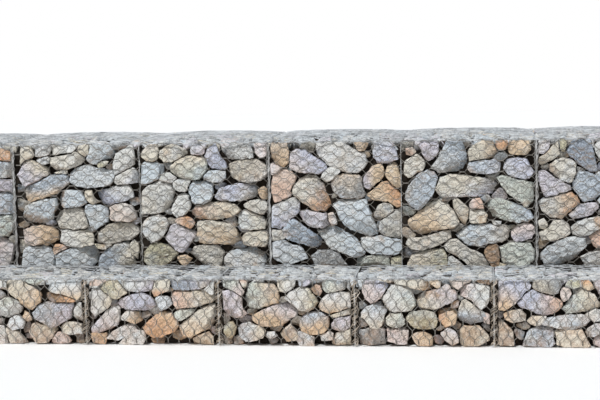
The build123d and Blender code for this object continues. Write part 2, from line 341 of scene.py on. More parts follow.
            (601, 193), (596, 201), (584, 202), (577, 193), (573, 189))),
        ("beigeGrey", ((539, 203), (546, 198), (560, 195), (572, 193), (577, 197), (580, 203),
            (574, 209), (568, 214), (562, 219), (550, 217), (542, 211)), "orange", 0),
        ("paleMauve", ((569, 215), (576, 208), (588, 202), (596, 203), (599, 207), (594, 213),
            (586, 217), (574, 219))),
        ("cream", ((539, 221), (544, 219), (548, 226), (545, 231), (540, 229))),
        ("paleBeige", ((540, 233), (548, 229), (555, 222), (563, 221), (569, 226), (571, 234),
            (564, 238), (552, 241), (542, 240))),
        ("paleGrey", ((572, 229), (578, 222), (590, 219), (600, 217), (607, 222), (600, 229),
            (590, 234), (580, 237), (573, 235))),
        ("pinkTan", ((590, 237), (597, 231), (607, 230), (610, 240), (604, 248), (594, 246))),
        ("whiteBlue", ((540, 256), (548, 248), (558, 242), (570, 238), (585, 239), (587, 246),
            (580, 254), (570, 261), (560, 264), (546, 261))),
        ("grey", ((582, 257), (590, 253), (604, 252), (610, 262), (605, 269), (595, 268),
            (586, 263))),
    ],
}
lowerStones = {
    2: [
        ("greenGrey", ((18, 280), (30, 277), (45, 279), (42, 282), (36, 286), (28, 284))),
        ("beige", ((2, 286), (8, 280), (14, 279), (20, 281), (28, 285), (35, 290), (41, 295),
            (40, 301), (35, 306), (31, 311), (25, 309), (20, 303), (12, 296),
            (4, 291)), "tan", -30),
        ("whiteBlue", ((38, 286), (44, 282), (52, 280), (60, 278), (72, 279), (78, 281),
            (80, 286), (80, 296), (77, 300), (68, 297), (60, 294), (50, 293),
            (42, 290)), "creamOrange", -80),
        ("brown", ((42, 295), (50, 294), (60, 296), (70, 299), (75, 301), (70, 303), (62, 303),
            (50, 304), (45, 300)), "orange", 0),
        ("paleGrey", ((-8, 302), (0, 300), (5, 297), (12, 300), (18, 303), (21, 308), (20, 312),
            (12, 316), (6, 319), (0, 317), (-8, 312)), "greenGrey", 90),
        ("darkGrey", ((-8, 290), (0, 291), (4, 294), (6, 298), (0, 299), (-8, 299))),
        ("blueGrey", ((31, 314), (35, 308), (40, 305), (50, 303), (62, 304), (71, 303), (72, 307),
            (70, 312), (70, 319), (60, 324), (55, 327), (50, 328), (44, 324), (38, 320),
            (33, 318)), "mauve", 0),
        ("paleGrey", ((74, 307), (78, 303), (81, 304), (82, 314), (81, 322), (77, 322), (72, 318),
            (72, 312))),
        ("beige", ((59, 329), (62, 325), (69, 323), (76, 323), (81, 325), (84, 329), (82, 334),
            (70, 335), (61, 333))),
        ("whiteBlue", ((8, 321), (14, 316), (20, 318), (25, 322), (22, 328), (12, 330),
            (6, 326))),
        ("tan", ((24, 312), (29, 314), (31, 320), (27, 322), (23, 318))),
    ],
    3: [
        ("creamPink", ((90, 281), (93, 274), (100, 270), (108, 272), (111, 275), (109, 280),
            (103, 283), (97, 286), (89, 286)), "pinkTan", -120),
        ("olive", ((99, 288), (104, 282), (110, 279), (116, 283), (120, 288), (126, 293),
            (120, 297), (114, 300), (109, 297), (103, 293)), "beige", 0),
        ("paleGrey", ((117, 276), (122, 274), (135, 275), (150, 277), (154, 281), (151, 290),
            (146, 292), (136, 292), (128, 291), (122, 287), (118, 281)), "mauve", -40),
        ("paleGrey", ((86, 291), (90, 289), (98, 289), (101, 293), (107, 298), (110, 302),
            (108, 308), (100, 313), (95, 316), (90, 313), (87, 305)), "beige", 0),
        ("mauveBlue", ((116, 304), (120, 300), (130, 296), (140, 294), (150, 297), (153, 300),
            (155, 306), (151, 311), (140, 310), (122, 309), (117, 307)), "mauve", 180),
        ("cream", ((152, 289), (156, 276), (160, 270), (168, 270), (169, 278), (169, 290),
            (160, 294), (153, 297), (151, 293)), "orange", -90),
        ("darkBlue", ((170, 290), (170, 275), (174, 268), (185, 264), (196, 266), (204, 270),
            (209, 276), (214, 282), (208, 285), (200, 289), (186, 291)), "mauve", -20),
        ("coolGrey", ((155, 299), (160, 297), (166, 297), (170, 300), (172, 304), (166, 309),
            (160, 311), (157, 305))),
        ("beige", ((170, 295), (175, 292), (188, 292), (204, 291), (210, 295), (214, 299),
            (211, 303), (200, 306), (188, 308), (176, 309), (173, 303)), "pinkTan", 200),
        ("paleMauve", ((90, 331), (94, 325), (100, 318), (106, 311), (112, 306), (117, 307),
            (118, 312), (119, 320), (117, 325), (110, 329), (100, 332),
            (92, 334)), "paleGrey", 60),
        ("creamOrange", ((121, 317), (125, 312), (131, 311), (136, 314), (140, 318), (140, 322),
            (135, 324), (128, 321), (122, 320)), "paleGrey", 150),
        ("whiteBlue", ((106, 339), (112, 333), (118, 329), (126, 326), (132, 325), (135, 330),
            (128, 336), (118, 340))),
        ("orange", ((140, 329), (144, 325), (150, 321), (155, 315), (160, 313), (166, 313),
            (171, 315), (176, 320), (178, 326), (175, 331), (168, 334), (160, 338), (150, 338),
            (143, 334)), "tan", 60),
        ("greenGrey", ((174, 314), (178, 311), (190, 310), (194, 311), (190, 315), (184, 319),
            (178, 321), (175, 318))),
        ("paleBeige", ((179, 328), (184, 322), (192, 316), (200, 310), (208, 306), (213, 306),
            (213, 315), (212, 324), (210, 329), (200, 334), (190, 338), (183, 337),
            (180, 332)), "tan", -90),
        ("beige", ((192, 340), (198, 335), (208, 333), (212, 338), (213, 344), (200, 346),
            (192, 345))),
    ],
    4: [
        ("greenGrey", ((221, 284), (225, 279), (232, 278), (237, 281), (241, 287), (244, 292),
            (241, 296), (236, 294), (228, 289), (222, 287)), "pinkGrey", -30),
        ("cream", ((237, 272), (242, 276), (246, 281), (246, 287), (243, 289),
            (239, 282)), "pinkTan", 90),
        ("greenGrey", ((243, 300), (245, 294), (247, 286), (252, 284), (262, 285), (273, 285),
            (277, 290), (278, 297), (277, 303), (270, 306), (260, 309), (252, 312), (247, 312),
            (243, 307)), "tan", 0),
        ("mauve", ((220, 293), (228, 291), (236, 295), (241, 299), (242, 305), (242, 310),
            (247, 314), (240, 318), (232, 319), (225, 314), (221, 308),
            (219, 300)), "pinkGrey", 0),
        ("paleGrey", ((276, 284), (280, 280), (290, 279), (294, 281), (294, 286), (290, 290),
            (285, 293), (280, 291), (277, 288)), "beige", 180),
        ("white", ((284, 298), (290, 293), (296, 290), (304, 288), (308, 290), (311, 295),
            (315, 299), (317, 303), (313, 308), (308, 312), (300, 311), (295, 307),
            (289, 302)), "olive", 0),
        ("tan", ((252, 316), (258, 313), (268, 309), (278, 305), (286, 305), (293, 308),
            (297, 314), (294, 318), (288, 321), (282, 326), (272, 327), (262, 326), (256, 323),
            (252, 320)), "paleMauve", 70),
        ("paleBlue", ((236, 332), (241, 326), (247, 323), (254, 326), (262, 328), (265, 332),
            (264, 337), (255, 341), (245, 342), (238, 338)), "beige", 0),
        ("olive", ((224, 327), (228, 323), (232, 323), (235, 328), (234, 334), (231, 339),
            (227, 338), (224, 333))),
        ("white", ((267, 333), (274, 332), (277, 336), (270, 339), (265, 337))),
        ("beige", ((279, 336), (284, 330), (290, 325), (294, 330), (297, 335), (296, 341),
            (286, 342))),
        ("mauve", ((299, 281), (303, 273), (309, 272), (313, 277), (308, 284), (304, 287),
            (299, 286)), "blueGrey", 180),
        ("orange", ((312, 276), (316, 271), (320, 276), (319, 280), (314, 280))),
        ("brown", ((311, 290), (315, 285), (320, 286), (322, 292), (319, 296),
            (314, 295)), "pinkTan", 0),
        ("greenGrey", ((321, 285), (326, 280), (335, 278), (344, 278), (346, 283), (344, 290),
            (337, 292), (326, 293), (322, 290)), "blueGrey", 0),
        ("darkGrey", ((348, 283), (352, 280), (357, 284), (356, 290), (350, 291), (347, 288))),
        ("white", ((319, 304), (323, 298), (330, 294), (340, 293), (348, 294), (354, 299),
            (355, 303), (351, 307), (340, 311), (330, 314), (323, 312), (318, 309)), "tan", -90),
        ("beige", ((330, 316), (340, 313), (351, 309), (356, 309), (355, 314), (345, 316),
            (336, 318))),
        ("tan", ((299, 325), (303, 317), (308, 314), (315, 313), (324, 315), (328, 320),
            (328, 327), (325, 333), (317, 335), (308, 335), (301, 332)), "blueGrey", 100),
        ("mauve", ((331, 325), (336, 319), (342, 317), (350, 317), (354, 321), (352, 326),
            (344, 331), (336, 331), (331, 329))),
        ("white", ((320, 336), (328, 332), (333, 334), (332, 340), (322, 341))),
    ],
    5: [
        ("cream", ((366, 276), (372, 272), (385, 273), (392, 277), (392, 283), (384, 282),
            (376, 280), (368, 279)), "tan", 0),
        ("pinkGrey", ((362, 287), (366, 283), (374, 281), (382, 283), (388, 287), (384, 294),
            (380, 299), (375, 302), (370, 303), (366, 300), (363, 294)), "mauveBlue", 60),
        ("paleBeige", ((393, 281), (397, 276), (410, 277), (420, 280), (428, 284), (434, 289),
            (430, 291), (420, 290), (408, 287), (400, 285), (394, 285)), "tan", -60),
        ("paleGrey", ((382, 300), (386, 292), (391, 286), (395, 285), (408, 288), (411, 293),
            (414, 300), (415, 306), (411, 310), (402, 312), (393, 313), (388, 309),
            (384, 304)), "greenGrey", 0),
        ("creamOrange", ((425, 279), (431, 278), (440, 283), (441, 287), (437, 289), (430, 284))),
        ("mauve", ((436, 291), (441, 288), (446, 285), (449, 286), (451, 290), (455, 291),
            (457, 295), (457, 299), (453, 303), (445, 305), (440, 308), (432, 311), (421, 309),
            (416, 305), (418, 299), (422, 294), (430, 293)), "beige", 220),
        ("paleBlue", ((361, 313), (366, 308), (372, 306), (380, 304), (383, 308), (387, 311),
            (384, 316), (383, 321), (382, 326), (378, 330), (371, 329), (366, 321),
            (361, 317)), "cream", -90),
        ("greenGrey", ((386, 319), (390, 315), (396, 313), (401, 314), (404, 320), (404, 325),
            (398, 328), (390, 327), (386, 323))),
        ("olive", ((406, 318), (411, 313), (420, 312), (432, 312), (436, 316), (437, 321),
            (435, 328), (425, 330), (414, 328), (409, 323)), "greenGrey", 90),
        ("creamOrange", ((438, 314), (444, 311), (449, 309), (454, 310), (457, 316), (455, 324),
            (446, 327), (439, 322)), "orange", 180),
        ("paleGrey", ((460, 290), (465, 285), (478, 285), (487, 286), (490, 291), (490, 299),
            (487, 305), (482, 310), (478, 309), (472, 303), (467, 299),
            (460, 296)), "pinkGrey", 180),
        ("blueGrey", ((458, 320), (459, 310), (462, 302), (465, 300), (471, 303), (477, 309),
            (483, 313), (487, 317), (484, 323), (470, 325), (461, 324)), "paleBeige", 90),
        ("creamPink", ((451, 274), (459, 271), (467, 273), (473, 278), (470, 283), (464, 286),
            (458, 290), (452, 286), (449, 281))),
        ("brown", ((475, 281), (482, 279), (489, 281), (490, 285), (480, 284))),
        ("brown", ((451, 304), (456, 300), (459, 302), (457, 308), (452, 309))),
    ],
    6: [
        ("mauveBlue", ((496, 290), (500, 283), (506, 279), (518, 280), (526, 281), (531, 286),
            (528, 291), (523, 296), (518, 302), (511, 307), (504, 311), (498, 309),
            (495, 300)), "tan", -110),
        ("darkBeige", ((533, 288), (534, 281), (540, 279), (552, 279), (560, 281), (561, 286),
            (558, 293), (552, 295), (544, 293), (536, 291)), "darkGrey", 0),
        ("creamPink", ((561, 292), (564, 288), (570, 289), (571, 294), (568, 299), (564, 302),
            (561, 297))),
        ("mauveBlue", ((517, 304), (523, 298), (529, 292), (533, 291), (540, 295), (550, 297),
            (558, 300), (563, 303), (561, 308), (556, 313), (548, 316), (540, 314), (530, 310),
            (522, 308)), "pinkTan", 0),
        ("greenGrey", ((563, 310), (568, 303), (574, 296), (580, 291), (586, 291), (592, 294),
            (597, 298), (600, 305), (598, 310), (590, 312), (578, 314), (567, 314)), "beige", 0),
        ("olive", ((566, 286), (571, 281), (579, 280), (580, 287), (573, 289))),
        ("creamOrange", ((581, 279), (587, 281), (592, 285), (594, 289), (588, 291),
            (582, 287)), "orange", 90),
        ("beigeGrey", ((504, 315), (512, 311), (520, 311), (526, 316), (525, 321), (514, 323),
            (506, 320)), "tan", 180),
        ("paleBlue", ((537, 321), (548, 319), (560, 317), (575, 316), (588, 317), (591, 321),
            (586, 326), (578, 330), (568, 331), (556, 328), (544, 325))),
        ("mauve", ((595, 284), (600, 280), (612, 281), (620, 285), (621, 292), (612, 297),
            (601, 296))),
    ],
}

tones = {   # as display colours
    "white": (236, 235, 231), "whiteBlue": (220, 226, 229), "paleGrey": (208, 208, 204),
    "grey": (182, 182, 180), "coolGrey": (188, 193, 196), "darkGrey": (146, 147, 147),
    "paleBlue": (196, 205, 211), "blueGrey": (168, 177, 186), "blue": (160, 174, 190),
    "darkBlue": (140, 149, 161), "mauve": (184, 179, 187), "paleMauve": (206, 201, 207),
    "mauveBlue": (176, 179, 194), "pinkGrey": (210, 195, 190), "pinkTan": (211, 180, 160),
    "cream": (225, 217, 199), "creamPink": (223, 206, 194), "creamOrange": (219, 194, 162),
    "paleBeige": (216, 210, 195), "beige": (205, 195, 176), "darkBeige": (177, 169, 154),
    "beigeGrey": (194, 189, 178), "tan": (204, 177, 145), "orange": (206, 160, 120),
    "brown": (152, 124, 97), "olive": (172, 167, 141), "greenGrey": (186, 191, 182),
}
toneStrength = 0.86   # the tones were read next to each other and look too strong

# what fills the places that aren't planned
rockPalettes = {
    "face": ("paleGrey", "paleGrey", "grey", "coolGrey", "paleBlue", "paleBlue", "blueGrey",
             "mauve", "paleMauve", "mauveBlue", "pinkGrey", "cream", "paleBeige", "beige",
             "beigeGrey", "beigeGrey", "greenGrey", "tan", "darkGrey", "creamOrange", "olive",
             "white"),
    "lid": ("white", "white", "whiteBlue", "whiteBlue", "whiteBlue", "paleGrey", "paleBlue",
            "paleBlue", "paleMauve", "paleBeige", "coolGrey"),
}

rockCut = {
    "corners": (5, 6, 6, 7, 7, 8),
    "cornerTurn": 0.22,     # how unevenly they lie round the stone
    "fewCorners": 1.06,     # stones of less than seven corners start this much larger
    "grow": (1.16, 1.34),   # how far a stone may grow into spare room
    "joint": 0.0040,        # half the gap left between two stones
    "swell": 0.005,         # how far a read outline may grow towards its neighbours
    "seenStep": 0.016,
    "readNear": (1.5, 0.03),    # neighbours of a read stone lie within this many lengths
    "looseNear": (1.6, 0.5),    # and those of a spare one, or within this distance
    "edgePull": 0.055,      # corners this near the top or bottom edge reach it
    "edgeLeft": 0.3,        # but for this share of their distance
    "margin": 0.005,        # clear of the top and bottom edges
    "footSunk": -0.010,     # the upper fronts stand a little behind the lower lid's stones
}
spareRock = {
    "size": {"face": (0.11, 0.24), "lid": (0.08, 0.17)},
    "half": 0.62, "flat": (0.5, 0.85), "tilt": 22, "rim": 0.03,
    "tries": 2500, "shrink": 0.62,   # and how much smaller the last one is
    "overlap": 0.93,
}


def ellipseReach(stone, dx, dy):
    # distance from the stone's middle to its rim in a direction
    c, s = math.cos(stone["tilt"]), math.sin(stone["tilt"])
    along, across = dx * c + dy * s, -dx * s + dy * c
    length = math.hypot(dx, dy)
    return length / max(1e-9, math.hypot(along / stone["a"], across / stone["b"]))


def rimNormal(stone, x, y):
    c, s = math.cos(stone["tilt"]), math.sin(stone["tilt"])
    dx, dy = x - stone["x"], y - stone["y"]
    along, across = (dx * c + dy * s) / stone["a"] ** 2, (-dx * s + dy * c) / stone["b"] ** 2
    nx, ny = along * c - across * s, along * s + across * c
    size = math.hypot(nx, ny) or 1.0
    return nx / size, ny / size


def sidesOf(points):
    # each corner with the one that follows it
    return zip(points, points[1:] + points[:1])


def clipPolygon(points, px, py, nx, ny):
    # keeps the side of the line through p that n points away from
    kept = []
    for (ax, ay), (bx, by) in sidesOf(points):
        da = (ax - px) * nx + (ay - py) * ny
        db = (bx - px) * nx + (by - py) * ny
        if da <= 0:
            kept.append((ax, ay))
        if da * db < 0:
            t = da / (da - db)
            kept.append((ax + (bx - ax) * t, ay + (by - ay) * t))
    return kept


def divided(points, step):
    # the outline with its sides divided
    made = []
    for (ax, ay), (bx, by) in sidesOf(points):
        parts = max(1, round(math.hypot(bx - ax, by - ay) / step))
        for k in range(parts):
            made.append((ax + (bx - ax) * k / parts, ay + (by - ay) * k / parts))
    return made


def gapTo(x, y, outline):
    # distance from a point to an outline
    best = 1.0
    for (ax, ay), (bx, by) in sidesOf(outline):
        dx, dy = bx - ax, by - ay
        t = ((x - ax) * dx + (y - ay) * dy) / max(1e-12, dx * dx + dy * dy)
        t = min(1.0, max(0.0, t))
        best = min(best, math.hypot(x - ax - dx * t, y - ay - dy * t))
    return best


def swollen(stone, stones):
    # a read outline grown until it nearly meets its neighbours
    points = divided(stone["outline"], rockCut["seenStep"])
    near = []
    lengths, more = rockCut["readNear"]
    for other in stones:
        if other is not stone and "outline" in other:
            apart = math.hypot(other["x"] - stone["x"], other["y"] - stone["y"])
            if apart < lengths * (stone["a"] + more + other["a"]):
                near.append(other["outline"])
    made = []
    for i, (x, y) in enumerate(points):
        ax, ay = points[i - 1]
        bx, by = points[(i + 1) % len(points)]
        length = math.hypot(bx - ax, by - ay) or 1.0
        nx, ny = (by - ay) / length, (ax - bx) / length
        room = min([gapTo(x, y, outline) for outline in near] or [1.0])
        grow = min(rockCut["swell"], 0.5 * room - rockCut["joint"])
        made.append((x + nx * grow, y + ny * grow))
    return made


def startOutline(stone, rng):
    # a few corners on a grown ellipse
    points = []
    count = rng.choice(rockCut["corners"])
    turn = rng.uniform(0, 1)
    uneven = rockCut["cornerTurn"]
    c, s = math.cos(stone["tilt"]), math.sin(stone["tilt"])
    for k in range(count):
        a = 2 * math.pi * (k + turn + rng.uniform(-uneven, uneven)) / count
        r = rng.uniform(*rockCut["grow"]) * (rockCut["fewCorners"] if count < 7 else 1.0)
        ex, ey = stone["a"] * r * math.cos(a), stone["b"] * r * math.sin(a)
        points.append((stone["x"] + ex * c - ey * s, stone["y"] + ex * s + ey * c))
    return points


def looseOutline(stone, stones, rng):
    # grows a stone from its ellipse until it meets its neighbours
    points = startOutline(stone, rng)
    joint = rockCut["joint"]
    lengths, least = rockCut["looseNear"]
    for other in stones:
        if other is stone or len(points) < 3:
            continue
        dx, dy = other["x"] - stone["x"], other["y"] - stone["y"]
        apart = math.hypot(dx, dy)
        mine, its = ellipseReach(stone, dx, dy), ellipseReach(other, dx, dy)
        if apart > lengths * (mine + its) and apart > least:
            continue
        share = mine / (mine + its)
        cx, cy = stone["x"] + dx * share, stone["y"] + dy * share
        n1, n2 = rimNormal(stone, cx, cy), rimNormal(other, cx, cy)
        nx, ny = n1[0] - n2[0], n1[1] - n2[1]
        size = math.hypot(nx, ny)
        if size < 1e-6:
            nx, ny, size = dx, dy, apart
        nx, ny = nx / size, ny / size
        points = clipPolygon(points, cx - nx * joint, cy - ny * joint, nx, ny)
    return points


def cutStones(stones, face, foot, rng):
    # a read outline is kept, every other stone is fitted between
    cells = []
    left, right = face["margins"]
    top = face["height"] - rockCut["margin"]
    edges = ((left, 0, -1, 0), (face["width"] - right, 0, 1, 0), (0, foot, 0, -1), (0, top, 0, 1))
    for stone in stones:
        if "outline" in stone:
            points = swollen(stone, stones)
        else:
            points = looseOutline(stone, stones, rng)
        for edge in edges:
            if len(points) >= 3:
                points = clipPolygon(points, *edge)
        if len(points) >= 3:
            cells.append((stone, points))
    return cells


def polygonFacts(points):
    # middle, half length, half thickness and tilt of an outline
    area = mx = my = 0.0
    for (ax, ay), (bx, by) in sidesOf(points):
        cross = ax * by - bx * ay
        area += cross / 2
        mx += (ax + bx) * cross / 6
        my += (ay + by) * cross / 6
    mx, my = mx / area, my / area
    xx = sum((p[0] - mx) ** 2 for p in points)
    yy = sum((p[1] - my) ** 2 for p in points)
    xy = sum((p[0] - mx) * (p[1] - my) for p in points)
    tilt = 0.5 * math.atan2(2 * xy, xx - yy)
    c, s = math.cos(tilt), math.sin(tilt)
    a = max(abs((p[0] - mx) * c + (p[1] - my) * s) for p in points)
    b = max(abs((p[1] - my) * c - (p[0] - mx) * s) for p in points)
    fit = math.sqrt(abs(area) / (math.pi * a * b))
    return mx, my, a * fit, b * fit, tilt


def touches(new, stones):
    for other in stones:
        dx, dy = other["x"] - new["x"], other["y"] - new["y"]
        reach = ellipseReach(new, dx, dy) + ellipseReach(other, dx, dy)
        if math.hypot(dx, dy) < spareRock["overlap"] * reach:
            return True
    return False


def addSpare(stones, width, height, sort, rng):
    # fills what no planned stone covers, with smaller and smaller ones
    rim, tries = spareRock["rim"], spareRock["tries"]
    for attempt in range(tries):
        x, y = rng.uniform(rim, width - rim), rng.uniform(rim, height - rim)
        shrink = 1 - spareRock["shrink"] * attempt / tries
        a = rng.uniform(*spareRock["size"][sort]) * spareRock["half"] * shrink
        b = a * rng.uniform(*spareRock["flat"])
        tilt = math.radians(rng.gauss(0, spareRock["tilt"]))
        new = {"x": x, "y": y, "a": a, "b": b, "tilt": tilt, "tone": rng.choice(rockPalettes[sort])}
        if not touches(new, stones):
            stones.append(new)
    return stones


def newPiece(name, mesh, materials):
    piece = bpy.data.objects.new(name, mesh)
    bpy.context.scene.collection.objects.link(piece)
    for material in materials:
        mesh.materials.append(material)
    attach(piece, "root")
    return piece


# Node helpers

def connect(tree, node, values):
    # by socket: what another node puts out, or a plain number or colour
    for key, value in values.items():
        if hasattr(value, "is_output"):
            tree.links.new(value, node.inputs[key])
        else:
            node.inputs[key].default_value = value


def addNode(tree, kind, values=None, **settings):
    made = tree.nodes.new(kind)
    for key, value in settings.items():
        setattr(made, key, value)
    connect(tree, made, values or {})
    return made


def calc(tree, operation, *values, clamp=False):
    values = dict(enumerate(values))
    made = addNode(tree, "ShaderNodeMath", values, operation=operation, use_clamp=clamp)
    return made.outputs[0]


def plus(tree, first, second):
    return calc(tree, "ADD", first, second)


def minus(tree, first, second):
    return calc(tree, "SUBTRACT", first, second)


def times(tree, first, second):
    return calc(tree, "MULTIPLY", first, second)


def shifted(tree, vector, by):
    values = {0: vector, 1: by}
    return addNode(tree, "ShaderNodeVectorMath", values, operation="ADD").outputs["Vector"]


def scaled(tree, vector, by):
    values = {0: vector, "Scale": by}
    return addNode(tree, "ShaderNodeVectorMath", values, operation="SCALE").outputs["Vector"]


def joinXyz(tree, x, y, z):
    return addNode(tree, "ShaderNodeCombineXYZ", {0: x, 1: y, 2: z}).outputs[0]


def splitXyz(tree, vector):
    return addNode(tree, "ShaderNodeSeparateXYZ", {0: vector}).outputs


def mapRange(tree, value, limits):
    return addNode(tree, "ShaderNodeMapRange", {"Value": value, **limits}).outputs[0]


def linear(colour):
    # display colour, 0 to 255, as scene-linear
    parts = []
    for c in colour:
        c = c / 255
        parts.append(c / 12.92 if c <= 0.04045 else ((c + 0.055) / 1.055) ** 2.4)
    return (*parts, 1.0)


# Materials

# noise masks: scale, detail, where they start and are full, roughness and a shift that
# sets one apart from the next
rockClouds = {
    "cool": (9.0, 5, 0.50, 0.66),
    "warm": (6.5, 6, 0.50, 0.68, 0.6, (3.1, 7.7, 1.3)),
    "pale": (15.0, 4, 0.58, 0.72, 0.6, (9.2, 2.4, 5.5)),
    "grain": (90.0, 4, 0.34, 0.66, 0.75),
    "pits": (30.0, 5, 0.56, 0.68, 0.7, (1.7, 4.1, 8.8)),
    "rough": (24.0, 6, 0.2, 0.8, 0.65),
    "fine": (120.0, 3, 0.2, 0.8),
    "seep": (5.0, 6, 0.56, 0.70, 0.6, (5.0, 0.4, 2.2)),
    "splash": (8.0, 6, 0.36, 0.62, 0.6, (2.6, 8.1, 0.7)),
}
rockLook = {
    "apart": 17.0,                       # moves the pattern on from stone to stone
    "cool": 0.55, "warm": 0.6, "pale": 0.45, "grain": 1.2, "pits": 0.42,
    "underside": 0.9, "seep": 0.75,      # how strongly each stain shows; the underside one is brown stain and painted shade below
    "splash": 0.60, "splashHeight": 0.45,
    "palest": 0.88,                      # no channel is brighter
    "steps": 13.0, "stepShare": 0.8, "coarse": 0.65, "fine": 0.55, "relief": 0.02,
    "roughness": (0.80, 0.95), "gloss": 0.3,
}
wireClouds = {
    "bloom": (11.0, 5, 0.38, 0.64),
    "rust": (4.0, 7, 0.62, 0.74, 0.6, (4.0, 1.0, 6.0)),
    "skin": (420.0, 2, 0.3, 0.7),
}
# the woven and lid wires are one galvanised mesh: the woven copy is darkened with painted shade, the
# lid copy paled with painted light from above
wireLooks = {   # colours, then the share of rust and how metallic the clean wire is
    "shadedWovenWire": {"zinc": (0.33, 0.305, 0.275, 1), "dull": (0.15, 0.135, 0.115, 1),
                  "rust": 0.35, "metal": 0.55},
    "lidWire": {"zinc": (0.76, 0.79, 0.82, 1), "dull": (0.33, 0.345, 0.36, 1),
                "rust": 0.2, "metal": 0.2},
    "edgeWire": {"zinc": (0.70, 0.70, 0.69, 1), "dull": (0.25, 0.24, 0.23, 1),
                 "rust": 0.5, "metal": 0.55},
    "looseWire": {"zinc": (0.64, 0.55, 0.45, 1), "dull": (0.33, 0.27, 0.21, 1),
                  "rust": 0.5, "metal": 0.55},
}
wireSkin = {
    "dust": 0.35, "rustDulls": 0.5, "roughness": 0.42, "bloomRough": 0.2,
    "bump": 0.25, "relief": 0.001,
}
dustAndUnderShadeLook = {"slope": (0.05, 0.85), "cloud": (7.0, 5, 0.35, 0.65)}
stain = {
    "ochre": (0.46, 0.27, 0.13, 1), "clay": (0.36, 0.19, 0.09, 1), "cool": (0.40, 0.45, 0.52, 1),
    "warm": (0.60, 0.53, 0.43, 1), "pale": (0.77, 0.79, 0.80, 1), "rust": (0.26, 0.12, 0.06, 1),
}


def newGroup(name, inputs, outputs):
    group = bpy.data.node_groups.new(name, "ShaderNodeTree")
    for label, kind, value in inputs:
        kind = "NodeSocket" + kind
        made = group.interface.new_socket(label, in_out="INPUT", socket_type=kind)
        if value is not None:
            made.default_value = value
    for label, kind in outputs:
        kind = "NodeSocket" + kind
        group.interface.new_socket(label, in_out="OUTPUT", socket_type=kind)
    given = addNode(group, "NodeGroupInput").outputs
    return group, given, addNode(group, "NodeGroupOutput")


def mixColour(tree, amount, first, second):
    values = {0: amount, 6: first, 7: second}
    return addNode(tree, "ShaderNodeMix", values, data_type="RGBA").outputs[2]


def noiseMask(tree, place, scale, detail, low, high, roughness=0.6, shift=None):
    if shift:
        place = shifted(tree, place, shift)
    values = {"Vector": place, "Scale": scale, "Detail": detail, "Roughness": roughness}
    cloud = addNode(tree, "ShaderNodeTexNoise", values, normalize=True)
    return mapRange(tree, cloud.outputs[0], {"From Min": low, "From Max": high})


def buildMottle():
    # blotches of two hues and dark grains over a base colour
    group, given, result = newGroup(
        "rockMottle",
        [("Base", "Color", (0.5, 0.5, 0.5, 1)), ("Place", "Vector", None),
         ("Blotch", "Float", 0.5), ("Grain", "Float", 0.5)],
        [("Color", "Color"), ("Pits", "Float")],
    )
    masks = {}
    for name in ("cool", "warm", "pale", "grain", "pits"):
        masks[name] = noiseMask(group, given["Place"], *rockClouds[name])
    colour = given["Base"]
    for name in ("cool", "warm"):
        amount = times(group, masks[name], times(group, given["Blotch"], rockLook[name]))
        colour = mixColour(group, amount, colour, stain[name])
    colour = mixColour(group, times(group, masks["pale"], rockLook["pale"]), colour, stain["pale"])
    grain = times(group, minus(group, masks["grain"], 0.5), given["Grain"])
    pitted = minus(group, 1.0, times(group, masks["pits"], rockLook["pits"]))
    colour = scaled(group, colour, times(group, plus(group, grain, 1.0), pitted))
    connect(group, result, {"Color": colour, "Pits": masks["pits"]})
    return group


def buildGrain():
    # broken face: coarse steps, then fine grit
    group, given, result = newGroup(
        "brokenGrain",
        [("Place", "Vector", None), ("Coarse", "Float", 0.6), ("Fine", "Float", 0.4)],
        [("Height", "Float")],
    )
    place = given["Place"]
    steps = addNode(group, "ShaderNodeTexVoronoi", {"Vector": place, "Scale": rockLook["steps"]},
                    feature="F1", distance="CHEBYCHEV")
    coarse = plus(group, times(group, steps.outputs[0], rockLook["stepShare"]),
                  noiseMask(group, place, *rockClouds["rough"]))
    fine = noiseMask(group, place, *rockClouds["fine"])
    total = plus(group, times(group, coarse, given["Coarse"]), times(group, fine, given["Fine"]))
    connect(group, result, {"Height": total})
    return group


def buildDustAndUnderShade():
    # clouds on what faces down, or up where Facing is 1: on the rocks, facing down, brown stain and
    # painted shade on the undersides; on the wires, facing up, pale dust
    group, given, result = newGroup(
        "dustAndUnderShade",
        [("Place", "Vector", None), ("Amount", "Float", 0.5), ("Facing", "Float", -1.0)],
        [("Mask", "Float")],
    )
    normal = addNode(group, "ShaderNodeNewGeometry").outputs["Normal"]
    low, high = dustAndUnderShadeLook["slope"]
    slope = mapRange(group, times(group, splitXyz(group, normal)[2], given["Facing"]),
                     {"From Min": low, "From Max": high})
    cloud = noiseMask(group, given["Place"], *dustAndUnderShadeLook["cloud"])
    connect(group, result, {"Mask": times(group, times(group, slope, cloud), given["Amount"])})
    return group


mottleGroup = buildMottle()
grainGroup = buildGrain()
dustAndUnderShadeGroup = buildDustAndUnderShade()


def placeGroup(tree, group, values):
    made = addNode(tree, "ShaderNodeGroup")
    made.node_tree = group
    connect(tree, made, values)
    return made.outputs


def newMaterial(name):
    material = bpy.data.materials.new(name)
    material.use_nodes = True
    tree = material.node_tree
    tree.nodes.clear()
    shader = addNode(tree, "ShaderNodeBsdfPrincipled")
    addNode(tree, "ShaderNodeOutputMaterial", {0: shader.outputs[0]})
    return material, tree, shader


def bumped(tree, height, strength, distance):
    values = {"Strength": strength, "Distance": distance, "Height": height}
    return addNode(tree, "ShaderNodeBump", values).outputs[0]


def heldBelow(tree, colour, limit):
    # dims a colour that is too bright without changing its hue
    red, green, blue = splitXyz(tree, colour)
    peak = calc(tree, "MAXIMUM", calc(tree, "MAXIMUM", red, green), blue)
    return scaled(tree, colour, calc(tree, "MINIMUM", 1.0, calc(tree, "DIVIDE", limit, peak)))


